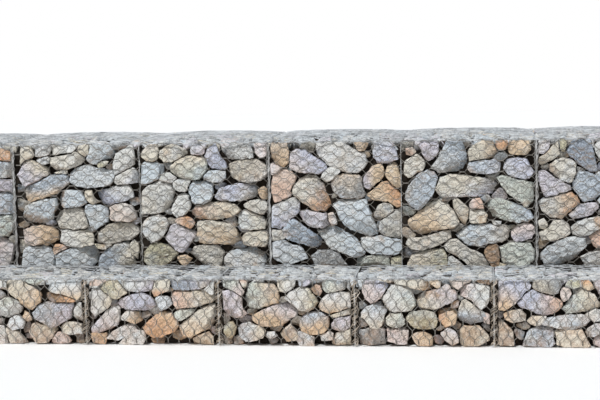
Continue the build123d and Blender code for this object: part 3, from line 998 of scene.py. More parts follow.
def buildRock(name, brightness, bump):
    material, tree, shader = newMaterial(name)
    bare = addNode(tree, "ShaderNodeTexCoord").outputs["Object"]
    tone = addNode(tree, "ShaderNodeAttribute", attribute_name="tone").outputs["Color"]
    kind = addNode(tree, "ShaderNodeAttribute", attribute_name="kind").outputs["Vector"]
    blotch, stainAndShadeBelow, seeping = splitXyz(tree, kind)
    place = shifted(tree, bare, scaled(tree, kind, rockLook["apart"]))
    mottle = placeGroup(tree, mottleGroup, {
        "Base": tone, "Place": place, "Blotch": blotch, "Grain": rockLook["grain"]})
    # brown stain and painted shade on the undersides of the stones
    under = placeGroup(tree, dustAndUnderShadeGroup, {
        "Place": place, "Amount": times(tree, stainAndShadeBelow, rockLook["underside"]), "Facing": -1.0})
    colour = mixColour(tree, under[0], mottle["Color"], stain["ochre"])
    seep = times(tree, noiseMask(tree, place, *rockClouds["seep"]), seeping)
    colour = mixColour(tree, times(tree, seep, rockLook["seep"]), colour, stain["ochre"])

    # splashed dirt fades out above the foot of the wall
    low = mapRange(tree, splitXyz(tree, bare)[2], {
        "From Max": rockLook["splashHeight"], "To Min": rockLook["splash"], "To Max": 0.0})
    splash = times(tree, noiseMask(tree, place, *rockClouds["splash"]), low)
    colour = mixColour(tree, splash, colour, stain["clay"])
    colour = heldBelow(tree, scaled(tree, colour, brightness), rockLook["palest"])
    height = placeGroup(tree, grainGroup, {
        "Place": place, "Coarse": rockLook["coarse"], "Fine": rockLook["fine"]})[0]
    smooth, rough = rockLook["roughness"]
    connect(tree, shader, {
        "Base Color": colour, "Normal": bumped(tree, height, bump, rockLook["relief"]),
        "Roughness": mapRange(tree, mottle["Pits"], {"To Min": smooth, "To Max": rough}),
        "Specular IOR Level": rockLook["gloss"],
    })
    return material


def buildWire(name):
    look = wireLooks[name]
    material, tree, shader = newMaterial(name)
    place = addNode(tree, "ShaderNodeTexCoord").outputs["Object"]
    bloom = noiseMask(tree, place, *wireClouds["bloom"])
    colour = mixColour(tree, bloom, look["zinc"], look["dull"])
    rust = noiseMask(tree, place, *wireClouds["rust"])
    colour = mixColour(tree, times(tree, rust, look["rust"]), colour, stain["rust"])
    dust = placeGroup(tree, dustAndUnderShadeGroup, {"Place": place, "Amount": wireSkin["dust"], "Facing": 1.0})
    dulled = times(tree, rust, wireSkin["rustDulls"])
    skin = noiseMask(tree, place, *wireClouds["skin"])
    connect(tree, shader, {
        "Base Color": mixColour(tree, dust[0], colour, stain["pale"]),
        "Metallic": calc(tree, "SUBTRACT", look["metal"], dulled, clamp=True),
        "Roughness": plus(tree, wireSkin["roughness"], times(tree, bloom, wireSkin["bloomRough"])),
        "Normal": bumped(tree, skin, wireSkin["bump"], wireSkin["relief"]),
    })
    return material


rockFace = buildRock("brokenRock", 1.32, 0.9)
# near-black rock for the heart: painted shade behind the gaps
paintedShadeRock = buildRock("shadedRock", 0.065, 0.6)
shadedMeshWire = buildWire("shadedWovenWire")
lidWire = buildWire("lidWire")
edgeWire = buildWire("edgeWire")
looseWire = buildWire("looseWire")
print("materials ready")


# Panels: each has its corner, the way it runs and its outward side

panelWays = {
    "front": ((1, 0, 0), (0, 0, 1)), "back": ((-1, 0, 0), (0, 0, 1)), "lid": ((1, 0, 0), (0, 1, 0)),
    "leftEnd": ((0, -1, 0), (0, 0, 1)), "rightEnd": ((0, 1, 0), (0, 0, 1)),
}
panelRoom = {
    "side": 0.008, "coveredSeam": 0.002, "end": 0.005, "back": 0.010,   # kept free of stones
    "strip": 0.062,         # taken up by the stones of the next panel round the corner
    "padBow": 0.010,        # of the lower lids beside the upper course
    "tuckedUnder": 0.030,   # how far the lower lid's stones reach below the upper course
    "lidRun": 0.12,         # and how far their belly runs on there
}


def panel(side, corner, width, height, bow, margins=None, ends=(False, False)):
    along, up = (Vector(way) for way in panelWays[side])
    return {
        "side": side, "corner": Vector(corner), "along": along, "up": up, "out": along.cross(up),
        "width": width, "height": height, "bow": bow, "ends": ends,
        "margins": margins or (panelRoom["side"], panelRoom["side"]),
    }


def bellyAt(x, y, width, height, bow):
    # how far a filled panel stands out of its edges
    x, y = min(max(x / width, 0), 1), min(max(y / height, 0), 1)
    return bow * (max(0, 1 - (2 * x - 1) ** 2) * max(0, 1 - (2 * y - 1) ** 2)) ** 0.5


stoneShape = {
    # share of the outline and of the thickness, from the broken face round to the back
    "rings": {
        "seen": ((0.28, 0.0), (0.54, 0.0), (0.78, 0.0), (0.93, 0.015), (0.99, 0.09), (1.0, 0.32),
                 (0.62, 1.0)),
        "far": ((0.45, 0.0), (0.92, 0.02), (1.0, 0.12), (0.96, 0.60), (0.60, 1.0)),
    },
    "faceEnds": 0.2,            # rings less deep than this are part of the face
    "rimCheck": 0.93,           # of the outline, where the face is still seen
    "rimHighlightFrom": 0.9, "sideFrom": 0.95,
    "spacing": {"seen": 0.021, "far": 0.040},
    "shortSide": 0.004, "cornerCut": (0.002, 0.007), "mostCut": 0.4,
    "thick": (0.75, 1.10), "thinnest": 0.045, "thickest": 0.20,
    "lean": 0.11, "leanDown": 0.04,
    "breaks": (1, 2, 3, 3),     # planes that cut across the face
    "breakStart": (0.25, 0.80),
    "breakSlope": (0.25, 0.95),
    "backClear": 0.3,           # of its thickness, behind the deepest break
    "chip": 0.010, "chipShare": 0.16, "chipScale": 24, "gritScale": 66, "grit": 0.7, "sideChip": 0.8,
    "noiseSeed": 9, "nowhere": (0, 50),
    # painted shade darkens the sides that face the gaps: how much, from where and over what share
    "shade": {"face": (0.93, 0.09, 0.20), "lid": (0.85, 0.24, 0.34)},
    "rimHighlight": 0.12,               # and the rims of the broken face are painted paler, a painted highlight
    "palest": 0.76,
    "clear": (0.000, 0.007),    # behind the woven panel
    "light": (0.92, 1.06),
    "turnScale": 14, "turnNoise": 0.4, "turnGain": 1.1, "turnStart": 0.25,
    # how blotchy, how much brown stain and painted shade lies below, and how stained the stones are
    "kinds": ((0.3, 1.0), (0.2, 1.0), (-0.5, 1.0)),
    "sharp": 14,                # degrees
}


def steppedOutline(points, spacing, rng):
    # cuts each corner a little and divides the sides
    stepped = []
    for (ax, ay), (bx, by) in sidesOf(points):
        length = math.hypot(bx - ax, by - ay)
        if length < stoneShape["shortSide"]:
            continue
        cut = min(stoneShape["mostCut"], rng.uniform(*stoneShape["cornerCut"]) / length)
        parts = max(1, round(length * (1 - 2 * cut) / spacing))
        for k in range(parts + 1):
            t = cut + (1 - 2 * cut) * k / parts
            stepped.append((ax + (bx - ax) * t, ay + (by - ay) * t))
    return stepped


def stoneTone(name, lift):
    r, g, b = linear(tones[name])[:3]
    grey = 0.3 * r + 0.5 * g + 0.2 * b
    return [(grey + (c - grey) * toneStrength) * lift for c in (r, g, b)]


def breaksAcross(offsets, rugged, rng):
    # planes that fall away from somewhere between the middle and the rim
    cuts = []
    for k in range(rng.choice(stoneShape["breaks"])):
        turn = rng.uniform(0, 2 * math.pi)
        nx, ny = math.cos(turn), math.sin(turn)
        extent = max(dx * nx + dy * ny for dx, dy in offsets)
        slope = rng.uniform(*stoneShape["breakSlope"]) * rugged
        cuts.append((nx, ny, extent * rng.uniform(*stoneShape["breakStart"]), slope))
    return cuts


def hewStone(stone, points, laid, rng, collect):
    # rings of points from the middle of the broken face round to the back
    rings = stoneShape["rings"][laid["detail"]]
    if "outline" not in stone:
        points = steppedOutline(points, stoneShape["spacing"][laid["detail"]], rng)
    count = len(points)
    cx = sum(p[0] for p in points) / count
    cy = sum(p[1] for p in points) / count
    offsets = [(x - cx, y - cy) for x, y in points]
    small = min(math.hypot(dx, dy) for dx, dy in offsets)
    thick = max(stoneShape["thinnest"], 2 * small * rng.uniform(*stoneShape["thick"]))
    thick = min(stoneShape["thickest"], thick)
    tip = stoneShape["lean"] * laid["rugged"]
    lean = (rng.gauss(0, tip), rng.gauss(stoneShape["leanDown"], tip))
    cuts = breaksAcross(offsets, laid["rugged"], rng)
    chip = min(stoneShape["chip"], small * stoneShape["chipShare"])
    nowhere = Vector([rng.uniform(*stoneShape["nowhere"]) for axis in range(3)])

    def depthAt(dx, dy):
        fall = lean[0] * dx + lean[1] * dy
        for nx, ny, start, slope in cuts:
            fall += max(0.0, dx * nx + dy * ny - start) * slope
        return fall

    rim = [depthAt(dx, dy) for dx, dy in offsets]
    rimCheck = stoneShape["rimCheck"]
    top = min(0.0, min(depthAt(dx * rimCheck, dy * rimCheck) for dx, dy in offsets))
    recess = stone.get("recess", 0.0)
    peak = laid["belly"](cx, cy) - rng.uniform(*stoneShape["clear"]) - recess
    shade, shadeFrom, shadeRun = laid["shade"]
    placed, reached, light = [], [], []

    def put(x, y, w, rough, back, keep):
        # one point, pushed about by chips and kept behind the panel
        spot = Vector((x, y, w))
        reached.append((x - cx, y - cy))
        # painted shade: the tone darkens down a side that faces a gap
        deep = 0.0 if laid["open"](x, y) else min(1.0, max(0.0, (back - shadeFrom) / shadeRun))
        # painted highlight along the rim of the broken face
        rimHighlight = keep > stoneShape["rimHighlightFrom"] and back < stoneShape["faceEnds"]
        light.append((1 + (stoneShape["rimHighlight"] if rimHighlight else 0.0)) * (1 - shade * deep))
        shake = noise.noise_vector(spot * stoneShape["chipScale"] + nowhere) * chip * rough
        grit = noise.noise_vector(spot * stoneShape["gritScale"] + nowhere)
        spot += shake + grit * chip * stoneShape["grit"]
        spot.z = min(spot.z, laid["belly"](spot.x, spot.y) - recess)
        placed.append(spot)

    put(cx, cy, peak + top, 1.0, 0.0, 0.0)
    for keep, back in rings:
        rough = 1.0 if keep < stoneShape["sideFrom"] else stoneShape["sideChip"]
        for (x, y), fall in zip(points, rim):
            dx, dy = (x - cx) * keep, (y - cy) * keep
            if back < stoneShape["faceEnds"]:
                w = peak + top - depthAt(dx, dy) - back * thick
            else:
                w = peak - max(back * thick, fall - top + stoneShape["backClear"] * thick)
            put(cx + dx, cy + dy, w, rough, back, keep)

    first = len(collect["points"])
    for spot in placed:
        point = laid["corner"] + laid["frame"] @ spot
        point.z = max(point.z, 0.0)
        collect["points"].append(point)
    for k in range(count):
        follow = (k + 1) % count
        collect["faces"].append([first, first + 1 + k, first + 1 + follow])
        for ring in range(len(rings) - 1):
            low = first + 1 + ring * count
            high = low + count
            collect["faces"].append([low + k, high + k, high + follow, low + follow])
    last = first + 1 + (len(rings) - 1) * count
    collect["faces"].append([last + k for k in reversed(range(count))])

    lift = rng.uniform(*stoneShape["light"]) * stone.get("lift", 1.0) * laid["lift"]
    other, way, share = stone.get("turn", (stone["tone"], 0.0, 0.0))
    tone, other = stoneTone(stone["tone"], lift), stoneTone(other, lift)
    across = [dx * math.cos(way) + dy * math.sin(way) for dx, dy in reached]
    far = max(across)
    for spot, run, lit in zip(placed, across, light):
        cloud = noise.noise(spot * stoneShape["turnScale"] + nowhere)
        turned = run / far + stoneShape["turnNoise"] * cloud
        turned = turned * stoneShape["turnGain"] + stoneShape["turnStart"]
        turned = share * min(1.0, max(0.0, turned))
        mixed = [(c + (o - c) * turned) * lit for c, o in zip(tone, other)]
        held = min(1.0, stoneShape["palest"] / max(mixed))
        collect["tones"].append([*(c * held for c in mixed), 1.0])
    kind = [max(0.0, rng.uniform(*limits)) for limits in stoneShape["kinds"]]
    collect["kinds"].extend([kind] * len(placed))
    collect["stones"] += 1


def drawnToEdge(outline, height, foot):
    # the stones of the top and bottom rows reach the edges of the panel
    pull, left = rockCut["edgePull"] * height, rockCut["edgeLeft"]
    middle = sum(z for x, z in outline) / len(outline)
    drawn = []
    for x, z in outline:
        if z > middle and z > height - pull:
            z = max(z, height - left * (height - z))
        if z < middle and z < pull:
            z = min(z, left * z) + foot
        drawn.append((x, z))
    return drawn


def readStones(rows, face):
    # the seen stones of a front, carried from the photograph onto its plane
    stones = []
    corner = face["corner"]
    foot = rockCut["footSunk"] if corner.z > 0 else 0.0
    for tone, corners, *turn in rows:
        outline = [onFront(px, py, corner.y - seenDepth) for px, py in corners]
        outline = [(x - corner.x, z - corner.z) for x, z in reversed(outline)]
        outline = drawnToEdge(outline, face["height"], foot)
        x, y, a, b, tilt = polygonFacts(outline)
        stone = {"x": x, "y": y, "a": a, "b": b, "tilt": tilt, "tone": tone, "outline": outline}
        if turn:
            stone["turn"] = (turn[0], math.radians(turn[1]), 1.0)
        stones.append(stone)
    return stones


packing = {
    # the lid stones are lifted paler than the face ones: pale dust and painted light from above
    "lid": {"lift": 1.14, "rugged": 2.4}, "face": {"lift": 1.08, "rugged": 1.0},
    "twoTone": 0.6, "turn": (0.2, 0.6),                  # share of the stones, and how far
    "lidRecess": (-0.010, 0.012),
    "small": 0.06, "smallRecess": (0.012, 0.040),        # small stones lie further back
    "between": 0.012, "betweenShadeLift": 0.4,                # and more so between read ones, where they are also darkened as painted shade
    "openTop": 0.03, "openEnd": 0.04,
}


def layStones(face, rows, sort, rng):
    # the read stones of the panel and the spare ones round them
    planned = readStones(rows, face) if rows else []
    stones = addSpare(list(planned), face["width"], face["height"], sort, rng)
    for k, stone in enumerate(stones):
        if "turn" not in stone and rng.random() < packing["twoTone"]:
            other = rng.choice(rockPalettes[sort])
            stone["turn"] = (other, rng.uniform(0, 2 * math.pi), rng.uniform(*packing["turn"]))
        if sort == "lid":
            stone["recess"] = rng.uniform(*packing["lidRecess"])
        elif k >= len(planned) and stone["a"] < packing["small"]:
            stone["recess"] = rng.uniform(*packing["smallRecess"])
            if planned:
                stone["recess"] += packing["between"]
                # painted shade: recessed stones between read ones are darkened
                stone["lift"] = packing["betweenShadeLift"]
    return stones


def packPanel(face, rows, seed, collect):
    # lays the panel's stones and hews them behind its belly
    rng = random.Random(seed)
    sort = "lid" if face["side"] == "lid" else "face"
    seen = face["side"] == "front"
    stones = layStones(face, rows, sort, rng)
    width, height = face.get("bellySize", (face["width"], face["height"]))
    shiftX, shiftY = face.get("bellyShift", (0.0, 0.0))

    def bellyOf(x, y):
        return bellyAt(x + shiftX, y + shiftY, width, height, face["bow"])

    def openAt(x, y):
        # where a stone's side lies at the edge of the wall and not in a gap, so it gets no painted
        # shade
        if sort == "lid" or y > face["height"] - packing["openTop"]:
            return sort != "lid"
        left, right = face["ends"]
        edge = packing["openEnd"]
        return left and x < edge or right and x > face["width"] - edge

    laid = {
        **packing[sort], "shade": stoneShape["shade"][sort], "detail": "seen" if seen else "far",
        "frame": Matrix((face["along"], face["up"], face["out"])).transposed(),
        "corner": face["corner"], "belly": bellyOf, "open": openAt,
    }
    foot = rockCut["footSunk"] if seen and face["corner"].z > 0 else rockCut["margin"]
    for stone, points in cutStones(stones, face, foot, rng):
        hewStone(stone, points, laid, rng, collect)


def markRock(mesh, toneOfPoints, kindOfPoints):
    # what the rock material reads at each point
    tone = mesh.attributes.new("tone", "FLOAT_COLOR", "POINT")
    tone.data.foreach_set("color", [c for tone in toneOfPoints for c in tone])
    kind = mesh.attributes.new("kind", "FLOAT_VECTOR", "POINT")
    kind.data.foreach_set("vector", [c for kind in kindOfPoints for c in kind])


def rockMesh(name, collect):
    mesh = bpy.data.meshes.new(name)
    mesh.from_pydata(collect["points"], [], collect["faces"])
    mesh.update()
    markRock(mesh, collect["tones"], collect["kinds"])
    mesh.shade_smooth()
    mesh.set_sharp_from_angle(angle=math.radians(stoneShape["sharp"]))
    return mesh


def besideUpper(course, number):
    # where the top of an end basket lies open beside the upper course
    if course is lower and number == 1:
        return [(lower["left"], upper["left"] + panelRoom["tuckedUnder"])]
    if course is lower and number == lower["bays"]:
        start = upper["left"] + upper["bays"] * bay - panelRoom["tuckedUnder"]
        return [(start, lower["left"] + lower["bays"] * bay)]
    return []


def seamsOf(course):
    # numbers of the seams between two baskets, the wall's ends included
    return [sum(course["baskets"][:k]) for k in range(len(course["baskets"]) + 1)]


def seamMargins(course, number):
    # room beside the left and right seam of a bay
    room = course["seamRoom"]
    margins = []
    for k in (number - 1, number):
        margin = room["laced"] if k in seamsOf(course) else room["plain"]
        if k in course["covered"]:
            margin = panelRoom["coveredSeam"]
        if k in (0, course["bays"]):
            margin = panelRoom["end"]
        margins.append(margin)
    return margins


def bayLids(course, number, x):
    # the open lid of a bay, and what lies open beside the upper course
    front, base, height = course["front"], course["base"], course["height"]
    strip, tucked = panelRoom["strip"], panelRoom["tuckedUnder"]
    depth, lidDepth = course["back"] - front, course["lidDepth"]
    left = strip if number == 1 else 0.0
    right = strip if number == course["bays"] else 0.0
    whole = lidDepth == depth
    run = lidDepth - strip - strip if whole else lidDepth - strip + tucked
    corner = (x + left, front + strip, base + height)
    lid = panel("lid", corner, bay - left - right, run, course["lidBow"])
    lid["bellySize"] = (bay, lidDepth if whole else lidDepth + panelRoom["lidRun"])
    lid["bellyShift"] = (left, strip)
    lids = [lid]
    for start, end in besideUpper(course, number):
        start, end = max(start, x + left), min(end, x + bay - right)
        run = upper["back"] - upper["front"] - tucked - strip
        corner = (start, upper["front"] + tucked, base + height)
        lids.append(panel("lid", corner, end - start, run, panelRoom["padBow"]))
    return lids


def bayPanels(course, number):
    # front, back, the end where the bay has one, and lids
    x = course["left"] + (number - 1) * bay
    front, back, base, height = course["front"], course["back"], course["base"], course["height"]
    strip = panelRoom["strip"]
    deep = back - front - 2 * strip
    ends = (number == 1, number == course["bays"])
    margins = seamMargins(course, number)
    behind = [min(margin, panelRoom["back"]) for margin in reversed(margins)]
    faces = [
        panel("front", (x, front, base), bay, height, faceBow, margins, ends),
        panel("back", (x + bay, back, base), bay, height, faceBow, behind, ends[::-1]),
    ]
    if ends[0]:
        faces.append(panel("leftEnd", (x, back - strip, base), deep, height, endBow))
    if ends[1]:
        faces.append(panel("rightEnd", (x + bay, front + strip, base), deep, height, endBow))
    return faces + bayLids(course, number, x)


def packCourse(course, seenStones):
    total = 0
    for number in range(1, course["bays"] + 1):
        name = f"{course['name']}_rock_{number}"
        collect = {"points": [], "faces": [], "tones": [], "kinds": [], "stones": 0}
        for k, face in enumerate(bayPanels(course, number)):
            rows = seenStones.get(number) if face["side"] == "front" else None
            packPanel(face, rows, course["seeds"]["rock"] + number * 10 + k, collect)
        piece = newPiece(name, rockMesh(name, collect), [rockFace])
        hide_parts(f"{course['name']}_fill_{number}")
        total += collect["stones"]
    print(course["name"], "course packed with", total, "stones")


# without a seed the vector noise starts from the clock
noise.seed_set(stoneShape["noiseSeed"])
packCourse(upper, upperStones)
packCourse(lower, lowerStones)


# Dark heart behind the gaps: a near-black block, painted shade seen through them

heart = {
    "inset": 0.075, "foot": {"lower": 0.003, "upper": 0.42}, "kind": (0.5, 0.5, 0.5),
    "lengths": 40, "rows": 5, "shake": 0.02, "seed": 9, "still": 0.01,   # the foot isn't shaken
}


def buildHeart(course):
    inset, shake = heart["inset"], heart["shake"]
    right, top = course["left"] + course["bays"] * bay, course["base"] + course["height"]
    low = (course["left"] + inset, course["front"] + inset, heart["foot"][course["name"]])
    high = (right - inset, course["back"] - inset, top - inset)
    block = bmesh.new()
    bmesh.ops.create_cube(block, size=1.0)
    for v in block.verts:
        v.co = Vector((low[k] + (high[k] - low[k]) * (v.co[k] + 0.5) for k in range(3)))
    long = [e for e in block.edges if abs(e.verts[0].co.x - e.verts[1].co.x) > 1]
    bmesh.ops.subdivide_edges(block, edges=long, cuts=heart["lengths"], use_grid_fill=True)
    rest = [e for e in block.edges if abs(e.verts[0].co.x - e.verts[1].co.x) < 0.001]
    bmesh.ops.subdivide_edges(block, edges=rest, cuts=heart["rows"], use_grid_fill=True)
    rng = random.Random(heart["seed"])
    for v in block.verts:
        if v.co.z > heart["still"]:
            v.co += Vector([rng.uniform(-shake, shake) for axis in range(3)])
    bmesh.ops.recalc_face_normals(block, faces=block.faces)
    name = f"{course['name']}_heart"
    mesh = bpy.data.meshes.new(name)
    block.to_mesh(mesh)
    block.free()
    count = len(mesh.vertices)
    markRock(mesh, [linear(tones["brown"])] * count, [heart["kind"]] * count)
    newPiece(name, mesh, [paintedShadeRock])


buildHeart(lower)
buildHeart(upper)
print("hearts built")


# Woven panels

weave = {
    "Cell": 0.080, "Reach": 0.105, "Twist": 0.036, "Wire": 0.0025, "Wander": 0.004, "Lift": 0.0045,
    "Overhang": 0.012,     # a twist whose middle lies further off the panel is dropped
    "Fold": 0.14,          # what is left of an end that passes the edge wires
    "Sides": 3,
}
weaveSteps = {"near": 6, "far": 3}
weaveSeeds = {"back": 40, "lid": 80, "leftEnd": 120, "rightEnd": 121, "pad": 130}
twist = {"turns": 1.5, "apart": 1.08, "legSteps": 0.34}
sway = {"size": 4.0, "weave": (3.7, 7.0, 1.5), "coil": (5.3, 22.0, 1.0)}   # seed step, scale, detail


def treeInputs(tree, inputs):
    kinds = {float: "Float", int: "Int", bool: "Bool", type(None): "Material"}
    for label, value in inputs.items():
        kind = "NodeSocket" + kinds[type(value)]
        made = tree.interface.new_socket(label, in_out="INPUT", socket_type=kind)
        if value is not None:
            made.default_value = value
    tree.interface.new_socket("Geometry", in_out="OUTPUT", socket_type="NodeSocketGeometry")
    return addNode(tree, "NodeGroupInput").outputs, addNode(tree, "NodeGroupOutput")


def tubeAlong(tree, curve, radius, sides):
    ring = addNode(tree, "GeometryNodeCurvePrimitiveCircle", {"Resolution": sides, "Radius": radius},
                   mode="RADIUS")
    values = {"Curve": curve, "Profile Curve": ring.outputs[0], "Fill Caps": True}
    return addNode(tree, "GeometryNodeCurveToMesh", values).outputs[0]


def straightCurve(tree, start, end, count):
    line = addNode(tree, "GeometryNodeCurvePrimitiveLine", {"Start": start, "End": end})
    values = {"Curve": line.outputs[0], "Count": count}
    return addNode(tree, "GeometryNodeResampleCurve", values).outputs[0]


def movedTo(tree, geometry, values):
    return addNode(tree, "GeometryNodeSetPosition", {"Geometry": geometry, **values}).outputs[0]


def waveXyz(tree, angle, radius):
    # a point on a ring round x
    y = times(tree, calc(tree, "COSINE", angle), radius)
    return joinXyz(tree, 0.0, y, times(tree, calc(tree, "SINE", angle), radius))


def swayOf(tree, place, given, sort):
    # a smooth push to one side, since no wire lies quite straight
    seedStep, scale, detail = sway[sort]
    seed = times(tree, given["Seed"], seedStep)
    values = {"Vector": place, "W": seed, "Scale": scale, "Detail": detail}
    cloud = addNode(tree, "ShaderNodeTexNoise", values, noise_dimensions="4D").outputs[1]
    size = times(tree, given["Wander"], sway["size"])
    return scaled(tree, shifted(tree, cloud, (-0.5, -0.5, -0.5)), size)


def positionXyz(tree):
    return splitXyz(tree, addNode(tree, "GeometryNodeInputPosition").outputs[0])


def realized(tree, geometry):
    return addNode(tree, "GeometryNodeRealizeInstances", {0: geometry}).outputs[0]


def finishTree(tree, geometry, material, result):
    smooth = addNode(tree, "GeometryNodeSetShadeSmooth", {0: realized(tree, geometry)}).outputs[0]
    values = {"Geometry": smooth, "Material": material}
    painted = addNode(tree, "GeometryNodeSetMaterial", values)
    connect(tree, result, {0: painted.outputs[0]})


def weaveUnit(tree, given, pitch):
    # one twist of two strands along x, and the two legs that leave it
    halfTwist, minusHalf = times(tree, given["Twist"], 0.5), times(tree, given["Twist"], -0.5)
    turn = addNode(tree, "GeometryNodeSplineParameter").outputs[0]
    turn = times(tree, turn, twist["turns"] * 2 * math.pi)
    beside = times(tree, given["Wire"], twist["apart"])
    strands = []
    for phase in (0.0, math.pi):
        strand = straightCurve(tree, joinXyz(tree, minusHalf, 0.0, 0.0),
                               joinXyz(tree, halfTwist, 0.0, 0.0), plus(tree, given["Steps"], 1.0))
        wound = movedTo(tree, strand, {"Offset": waveXyz(tree, plus(tree, turn, phase), beside)})
        strands.append(tubeAlong(tree, wound, given["Wire"], given["Sides"]))
    legSteps = times(tree, given["Steps"], twist["legSteps"])
    legSteps = plus(tree, calc(tree, "FLOOR", legSteps), 1.0)
    for way in (1.0, -1.0):
        near = times(tree, beside, way)
        far = minus(tree, times(tree, given["Cell"], 0.5 * way), near)
        leg = straightCurve(tree, joinXyz(tree, halfTwist, near, 0.0),
                            joinXyz(tree, minus(tree, pitch, halfTwist), far, 0.0), legSteps)
        strands.append(tubeAlong(tree, leg, given["Wire"], given["Sides"]))
    unit = addNode(tree, "GeometryNodeJoinGeometry")
    for strand in strands:
        tree.links.new(strand, unit.inputs[0])
    return unit.outputs[0]


def twistSpots(tree, given, pitch, runLength, runAcross):
    # staggered rows of points, one for each twist
    columns = plus(tree, calc(tree, "CEIL", calc(tree, "DIVIDE", runLength, pitch)), 1.0)
    rows = plus(tree, calc(tree, "CEIL", calc(tree, "DIVIDE", runAcross, given["Cell"])), 2.0)
    spanX = times(tree, minus(tree, columns, 1.0), pitch)
    spanY = times(tree, minus(tree, rows, 1.0), given["Cell"])
    spots = addNode(tree, "GeometryNodeMeshGrid", {
        "Size X": spanX, "Size Y": spanY, "Vertices X": columns, "Vertices Y": rows})
    fromLeft = plus(tree, positionXyz(tree)[0], times(tree, spanX, 0.5))
    column = calc(tree, "ROUND", calc(tree, "DIVIDE", fromLeft, pitch))
    stagger = times(tree, calc(tree, "MODULO", column, 2.0), times(tree, given["Cell"], 0.5))
    shiftY = plus(tree, times(tree, runAcross, 0.5), stagger)
    shift = joinXyz(tree, times(tree, runLength, 0.5), shiftY, 0.0)
    laid = movedTo(tree, spots.outputs[0], {"Offset": shift})

    spot, over = positionXyz(tree), given["Overhang"]
    offLow = calc(tree, "MINIMUM", plus(tree, spot[0], over), plus(tree, spot[1], over))
    offHigh = calc(tree, "MINIMUM", minus(tree, plus(tree, runLength, over), spot[0]),
                   minus(tree, plus(tree, runAcross, over), spot[1]))
    off = calc(tree, "LESS_THAN", calc(tree, "MINIMUM", offLow, offHigh), 0.0)
    drop = addNode(tree, "GeometryNodeDeleteGeometry", {"Geometry": laid, "Selection": off},
                   domain="POINT", mode="ALL")
    return drop.outputs[0]


def buildWeave():
    # double-twist hexagonal mesh, laid over a belly; Upright turns its twists up the panel
    tree = bpy.data.node_groups.new("wovenPanel", "GeometryNodeTree")
    given, result = treeInputs(tree, {
        "Width": 1.0, "Height": 1.0, "Bay": 1.0, "Belly": 1.0, "Bow": faceBow, **weave,
        "Steps": weaveSteps["near"], "Seed": 1, "Upright": False, "Material": None})

    def pick(first, second):
        values = {0: given["Upright"], 1: first, 2: second}
        return addNode(tree, "GeometryNodeSwitch", values, input_type="FLOAT").outputs[0]

    runLength = pick(given["Width"], given["Height"])
    runAcross = pick(given["Height"], given["Width"])
    pitch = times(tree, plus(tree, given["Reach"], given["Twist"]), 0.5)
    spread = addNode(tree, "GeometryNodeInstanceOnPoints", {
        "Points": twistSpots(tree, given, pitch, runLength, runAcross),
        "Instance": weaveUnit(tree, given, pitch)})

    def folded(value, length):
        # ends that pass the edge wires fold along them
        kept = calc(tree, "MINIMUM", calc(tree, "MAXIMUM", value, 0.0), length)
        return plus(tree, kept, times(tree, minus(tree, value, kept), given["Fold"]))

    def hump(value):
        twice = minus(tree, times(tree, value, 2.0), 1.0)
        return calc(tree, "MAXIMUM", minus(tree, 1.0, times(tree, twice, twice)), 0.0)

    x, y, z = positionXyz(tree)
    runX, runY = folded(x, runLength), folded(y, runAcross)
    alongX, alongY = pick(runX, minus(tree, given["Width"], runY)), pick(runY, runX)
    push = swayOf(tree, joinXyz(tree, alongX, alongY, 0.0), given, "weave")
    inBay = calc(tree, "FRACT", calc(tree, "DIVIDE", alongX, given["Bay"]))
    swell = times(tree, hump(inBay), hump(calc(tree, "DIVIDE", alongY, given["Belly"])))
    swell = times(tree, calc(tree, "POWER", swell, 0.5), given["Bow"])
    high = plus(tree, plus(tree, z, swell), given["Lift"])
    shaped = movedTo(tree, realized(tree, spread.outputs[0]), {
        "Position": joinXyz(tree, alongX, alongY, high), "Offset": push})
    finishTree(tree, shaped, given["Material"], result)
    return tree


def buildCoil():
    # a wire wound along x
    tree = bpy.data.node_groups.new("woundWire", "GeometryNodeTree")
    given, result = treeInputs(tree, {
        "Length": 1.0, "Radius": 0.01, "Pitch": 0.05, "Wire": 0.0016, "Wander": 0.003, "Phase": 0.0,
        "Steps": 6, "Sides": 3, "Seed": 1, "Material": None})
    turns = calc(tree, "DIVIDE", given["Length"], given["Pitch"])
    count = plus(tree, calc(tree, "CEIL", times(tree, turns, given["Steps"])), 1.0)
    curve = straightCurve(tree, (0, 0, 0), joinXyz(tree, given["Length"], 0.0, 0.0), count)
    share = addNode(tree, "GeometryNodeSplineParameter").outputs[0]
    angle = plus(tree, times(tree, times(tree, share, turns), 2 * math.pi), given["Phase"])
    place = addNode(tree, "GeometryNodeInputPosition").outputs[0]
    ring = waveXyz(tree, angle, given["Radius"])
    push = swayOf(tree, place, given, "coil")
    wound = movedTo(tree, curve, {"Offset": shifted(tree, ring, push)})
    tube = tubeAlong(tree, wound, given["Wire"], given["Sides"])
    finishTree(tree, tube, given["Material"], result)
    return tree


def grown(tree, values, corner, along, up, out):
    # runs a tree on its own and brings the mesh to its place
    holder = bpy.data.objects.new("grown", bpy.data.meshes.new("grown"))
    bpy.context.scene.collection.objects.link(holder)
    work = holder.modifiers.new("nodes", "NODES")
    work.node_group = tree
    for socket in tree.interface.items_tree:
        if socket.in_out == "INPUT" and socket.name in values:
            work[socket.identifier] = values[socket.name]
    graph = bpy.context.evaluated_depsgraph_get()
    mesh = bpy.data.meshes.new_from_object(holder.evaluated_get(graph))
    holder.modifiers.clear()
    bpy.data.objects.remove(holder)
    turned = Matrix((along, up, out)).transposed().to_4x4()
    mesh.transform(Matrix.Translation(corner) @ turned)
    return mesh


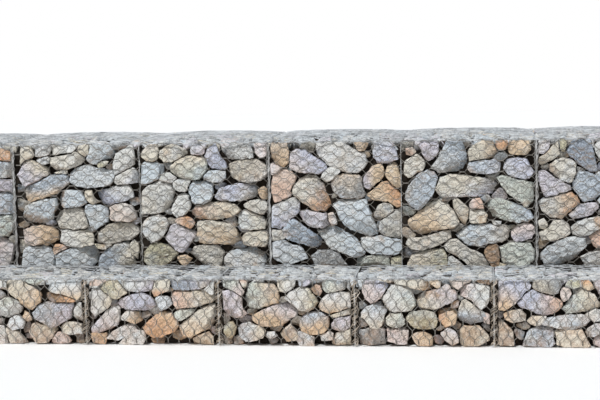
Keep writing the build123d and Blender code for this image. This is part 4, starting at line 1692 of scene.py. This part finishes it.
def joinedPiece(name, meshes, materials):
    whole = bmesh.new()
    for mesh in meshes:
        before = len(whole.faces)
        used = next(m for m in mesh.materials if m)
        whole.from_mesh(mesh)
        whole.faces.ensure_lookup_table()
        for f in whole.faces[before:]:
            f.material_index = materials.index(used)
        bpy.data.meshes.remove(mesh)
    joined = bpy.data.meshes.new(name)
    whole.to_mesh(joined)
    whole.free()
    joined.shade_smooth()
    newPiece(name, joined, materials)


weaveTree = buildWeave()
coilTree = buildCoil()


def wovenMesh(face, seed, bays=bay, upright=False, steps="far", finish=shadedMeshWire, belly=None):
    values = {
        **weave, "Width": face["width"], "Height": face["height"], "Bay": bays, "Bow": face["bow"],
        "Belly": belly or face["height"], "Steps": weaveSteps[steps], "Seed": seed,
        "Upright": upright, "Material": finish,
    }
    return grown(weaveTree, values, face["corner"], face["along"], face["up"], face["out"])


def weaveCourse(course):
    x, seed, upright = course["left"], course["seeds"]["mesh"], course["upright"]
    front, back, base, height = course["front"], course["back"], course["base"], course["height"]
    depth, lidDepth, top = back - front, course["lidDepth"], base + height
    belly = lidDepth if course is upper else lidDepth + panelRoom["lidRun"]
    for i, bays in enumerate(course["baskets"]):
        wide = bays * bay
        face = panel("front", (x, front, base), wide, height, faceBow)
        sheets = [wovenMesh(face, seed + i, upright=upright, steps="near")]
        face = panel("back", (x + wide, back, base), wide, height, faceBow)
        sheets.append(wovenMesh(face, seed + i + weaveSeeds["back"], upright=upright))
        face = panel("lid", (x, front, top), wide, lidDepth, course["lidBow"])
        sheets.append(wovenMesh(face, seed + i + weaveSeeds["lid"], finish=lidWire, belly=belly))
        if i == 0:
            face = panel("leftEnd", (x, back, base), depth, height, endBow)
            sheets.append(wovenMesh(face, seed + weaveSeeds["leftEnd"], depth, upright))
        if i == len(course["baskets"]) - 1:
            face = panel("rightEnd", (x + wide, front, base), depth, height, endBow)
            sheets.append(wovenMesh(face, seed + weaveSeeds["rightEnd"], depth, upright))
        for start, end in besideUpper(course, i + 1):
            long, run = end - start, upper["back"] - upper["front"]
            face = panel("lid", (start, upper["front"], top), long, run, panelRoom["padBow"])
            sheets.append(wovenMesh(face, seed + weaveSeeds["pad"], long, finish=lidWire))
        joinedPiece(f"{course['name']}_mesh_{i + 1}", sheets, [shadedMeshWire, lidWire])
        x += wide
    print(course["name"], "course woven")


weaveCourse(upper)
weaveCourse(lower)


# Ties: each kind is a few loose coils of radius, pitch and wander over one another

ties = {
    "laced": {"wire": 0.0019, "finish": edgeWire, "coils": (
        (0.008, 0.045, 0.002), (0.014, 0.110, 0.006), (0.017, 0.150, 0.007), (0.012, 0.47, 0.008))},
    "loose": {"wire": 0.0026, "finish": looseWire, "coils": (
        (0.010, 0.050, 0.004), (0.020, 0.058, 0.010), (0.026, 0.085, 0.012), (0.029, 0.12, 0.014),
        (0.024, 0.27, 0.018))},
    "plain": {"wire": 0.0017, "finish": edgeWire, "coils": (
        (0.006, 0.050, 0.002), (0.010, 0.16, 0.005))},
    "edge": {"wire": 0.0018, "finish": lidWire, "coils": (
        (0.009, 0.060, 0.006), (0.016, 0.13, 0.012), (0.014, 0.27, 0.016))},
}
tieRun = {
    "phase": 2.1, "steps": 6, "sides": 3, "proud": 0.004, "lidProud": 0.002, "short": 0.01,
    "seeds": {"step": 5, "back": 50, "front": 100, "rear": 110},
}


def tied(start, end, kind, seed):
    start, end = Vector(start), Vector(end)
    along = (end - start).normalized()
    side = Vector((0, -1, 0))
    made = []
    for k, (radius, pitch, wander) in enumerate(ties[kind]["coils"]):
        values = {
            "Length": (end - start).length, "Radius": radius, "Pitch": pitch, "Wander": wander,
            "Wire": ties[kind]["wire"], "Phase": k * tieRun["phase"], "Steps": tieRun["steps"],
            "Sides": tieRun["sides"], "Seed": seed + k, "Material": ties[kind]["finish"],
        }
        made.append(grown(coilTree, values, start, along, side, along.cross(side)))
    return made


def tieCourse(course):
    made = []
    seed, add = course["seeds"]["ties"], tieRun["seeds"]
    left, back = course["left"], course["back"]
    front, base, top = course["front"], course["base"], course["base"] + course["height"]
    foot, head, proud = base + tieRun["short"], top - tieRun["short"], front - tieRun["proud"]
    for k in range(course["bays"] + 1):
        x = left + k * bay
        kind = course["seamTie"] if k in seamsOf(course) else "plain"
        own = seed + k * add["step"]
        if k not in course["covered"]:
            made += tied((x, proud, foot), (x, proud, head), kind, own)
        made += tied((x, back, foot), (x, back, head), "plain", own + add["back"])
    right, proud = left + course["bays"] * bay, front - tieRun["lidProud"]
    made += tied((left, proud, top), (right, proud, top), "edge", seed + add["front"])
    made += tied((left, back, top), (right, back, top), "plain", seed + add["rear"])
    finishes = [edgeWire, lidWire]
    if course["seamTie"] == "loose":
        finishes.append(looseWire)
    joinedPiece(f"{course['name']}_ties", made, finishes)
    print(course["name"], "course tied")


tieCourse(upper)
tieCourse(lower)


# Carried-over CAD wires

def cadFinish(name):
    if "fill" in name:
        return paintedShadeRock
    if "lid" in name:
        return lidWire
    return looseWire if name == "lower_seam_lacing" else edgeWire


for name, cadObject in frame["nodes"].items():
    for socket in cadObject.material_slots:
        socket.material = cadFinish(name)
    if not cadObject.material_slots:
        cadObject.data.materials.append(cadFinish(name))


# Stage, light and camera

stage = {
    "floor": (0.94, 0.94, 0.935, 1), "roughness": 0.9, "size": 60.0,
    "sun": 2.9, "sunAngle": 6, "sunWay": (0.36, 0.68, -0.95),
    "sky": 0.36, "skyColour": (0.90, 0.95, 1.0, 1),
}


def buildFloor():
    mesh = bpy.data.meshes.new("floor")
    half = stage["size"] / 2
    corners = [(-half, -half, 0), (half, -half, 0), (half, half, 0), (-half, half, 0)]
    mesh.from_pydata(corners, [], [(0, 1, 2, 3)])
    floor = bpy.data.objects.new("floor", mesh)
    bpy.context.scene.collection.objects.link(floor)
    material, tree, shader = newMaterial("floorPaint")
    connect(tree, shader, {"Base Color": stage["floor"], "Roughness": stage["roughness"]})
    mesh.materials.append(material)


def buildWorld():
    # lights the wall with a dim sky and shows plain white
    world = bpy.data.worlds.new("studio")
    bpy.context.scene.world = world
    world.use_nodes = True
    tree = world.node_tree
    tree.nodes.clear()
    values = {"Color": stage["skyColour"], "Strength": stage["sky"]}
    sky = addNode(tree, "ShaderNodeBackground", values).outputs[0]
    white = addNode(tree, "ShaderNodeBackground", {"Color": (1, 1, 1, 1)}).outputs[0]
    path = addNode(tree, "ShaderNodeLightPath").outputs
    seen = calc(tree, "MAXIMUM", path["Is Camera Ray"], path["Is Glossy Ray"])
    seen = calc(tree, "MAXIMUM", seen, path["Is Transmission Ray"])
    mix = addNode(tree, "ShaderNodeMixShader", {0: seen, 1: sky, 2: white}).outputs[0]
    addNode(tree, "ShaderNodeOutputWorld", {0: mix})


def addSun():
    light = bpy.data.lights.new("keySun", "SUN")
    light.energy = stage["sun"]
    light.angle = math.radians(stage["sunAngle"])
    lamp = bpy.data.objects.new("keySun", light)
    lamp.rotation_euler = (-Vector(stage["sunWay"])).to_track_quat("Z", "Y").to_euler()
    bpy.context.scene.collection.objects.link(lamp)


def buildCamera():
    lens = bpy.data.cameras.new("photoCamera")
    lens.sensor_width = view["sensor"]
    lens.sensor_fit = "HORIZONTAL"
    lens.lens = view["focalPixels"] / view["width"] * view["sensor"]
    camera = bpy.data.objects.new("photoCamera", lens)
    right, above, ahead = viewAxes()
    turn = Matrix((right, above, -ahead)).transposed().to_4x4()
    camera.matrix_world = Matrix.Translation(view["place"]) @ turn
    bpy.context.scene.collection.objects.link(camera)
    bpy.context.scene.camera = camera


buildFloor()
buildWorld()
addSun()
buildCamera()
bpy.context.scene.view_settings.view_transform = "Standard"

triangles = 0
for item in bpy.data.objects:
    if item.type == "MESH" and not item.hide_render and item.name != "floor":
        item.data.calc_loop_triangles()
        triangles += len(item.data.loop_triangles)
print("triangles in all:", triangles)

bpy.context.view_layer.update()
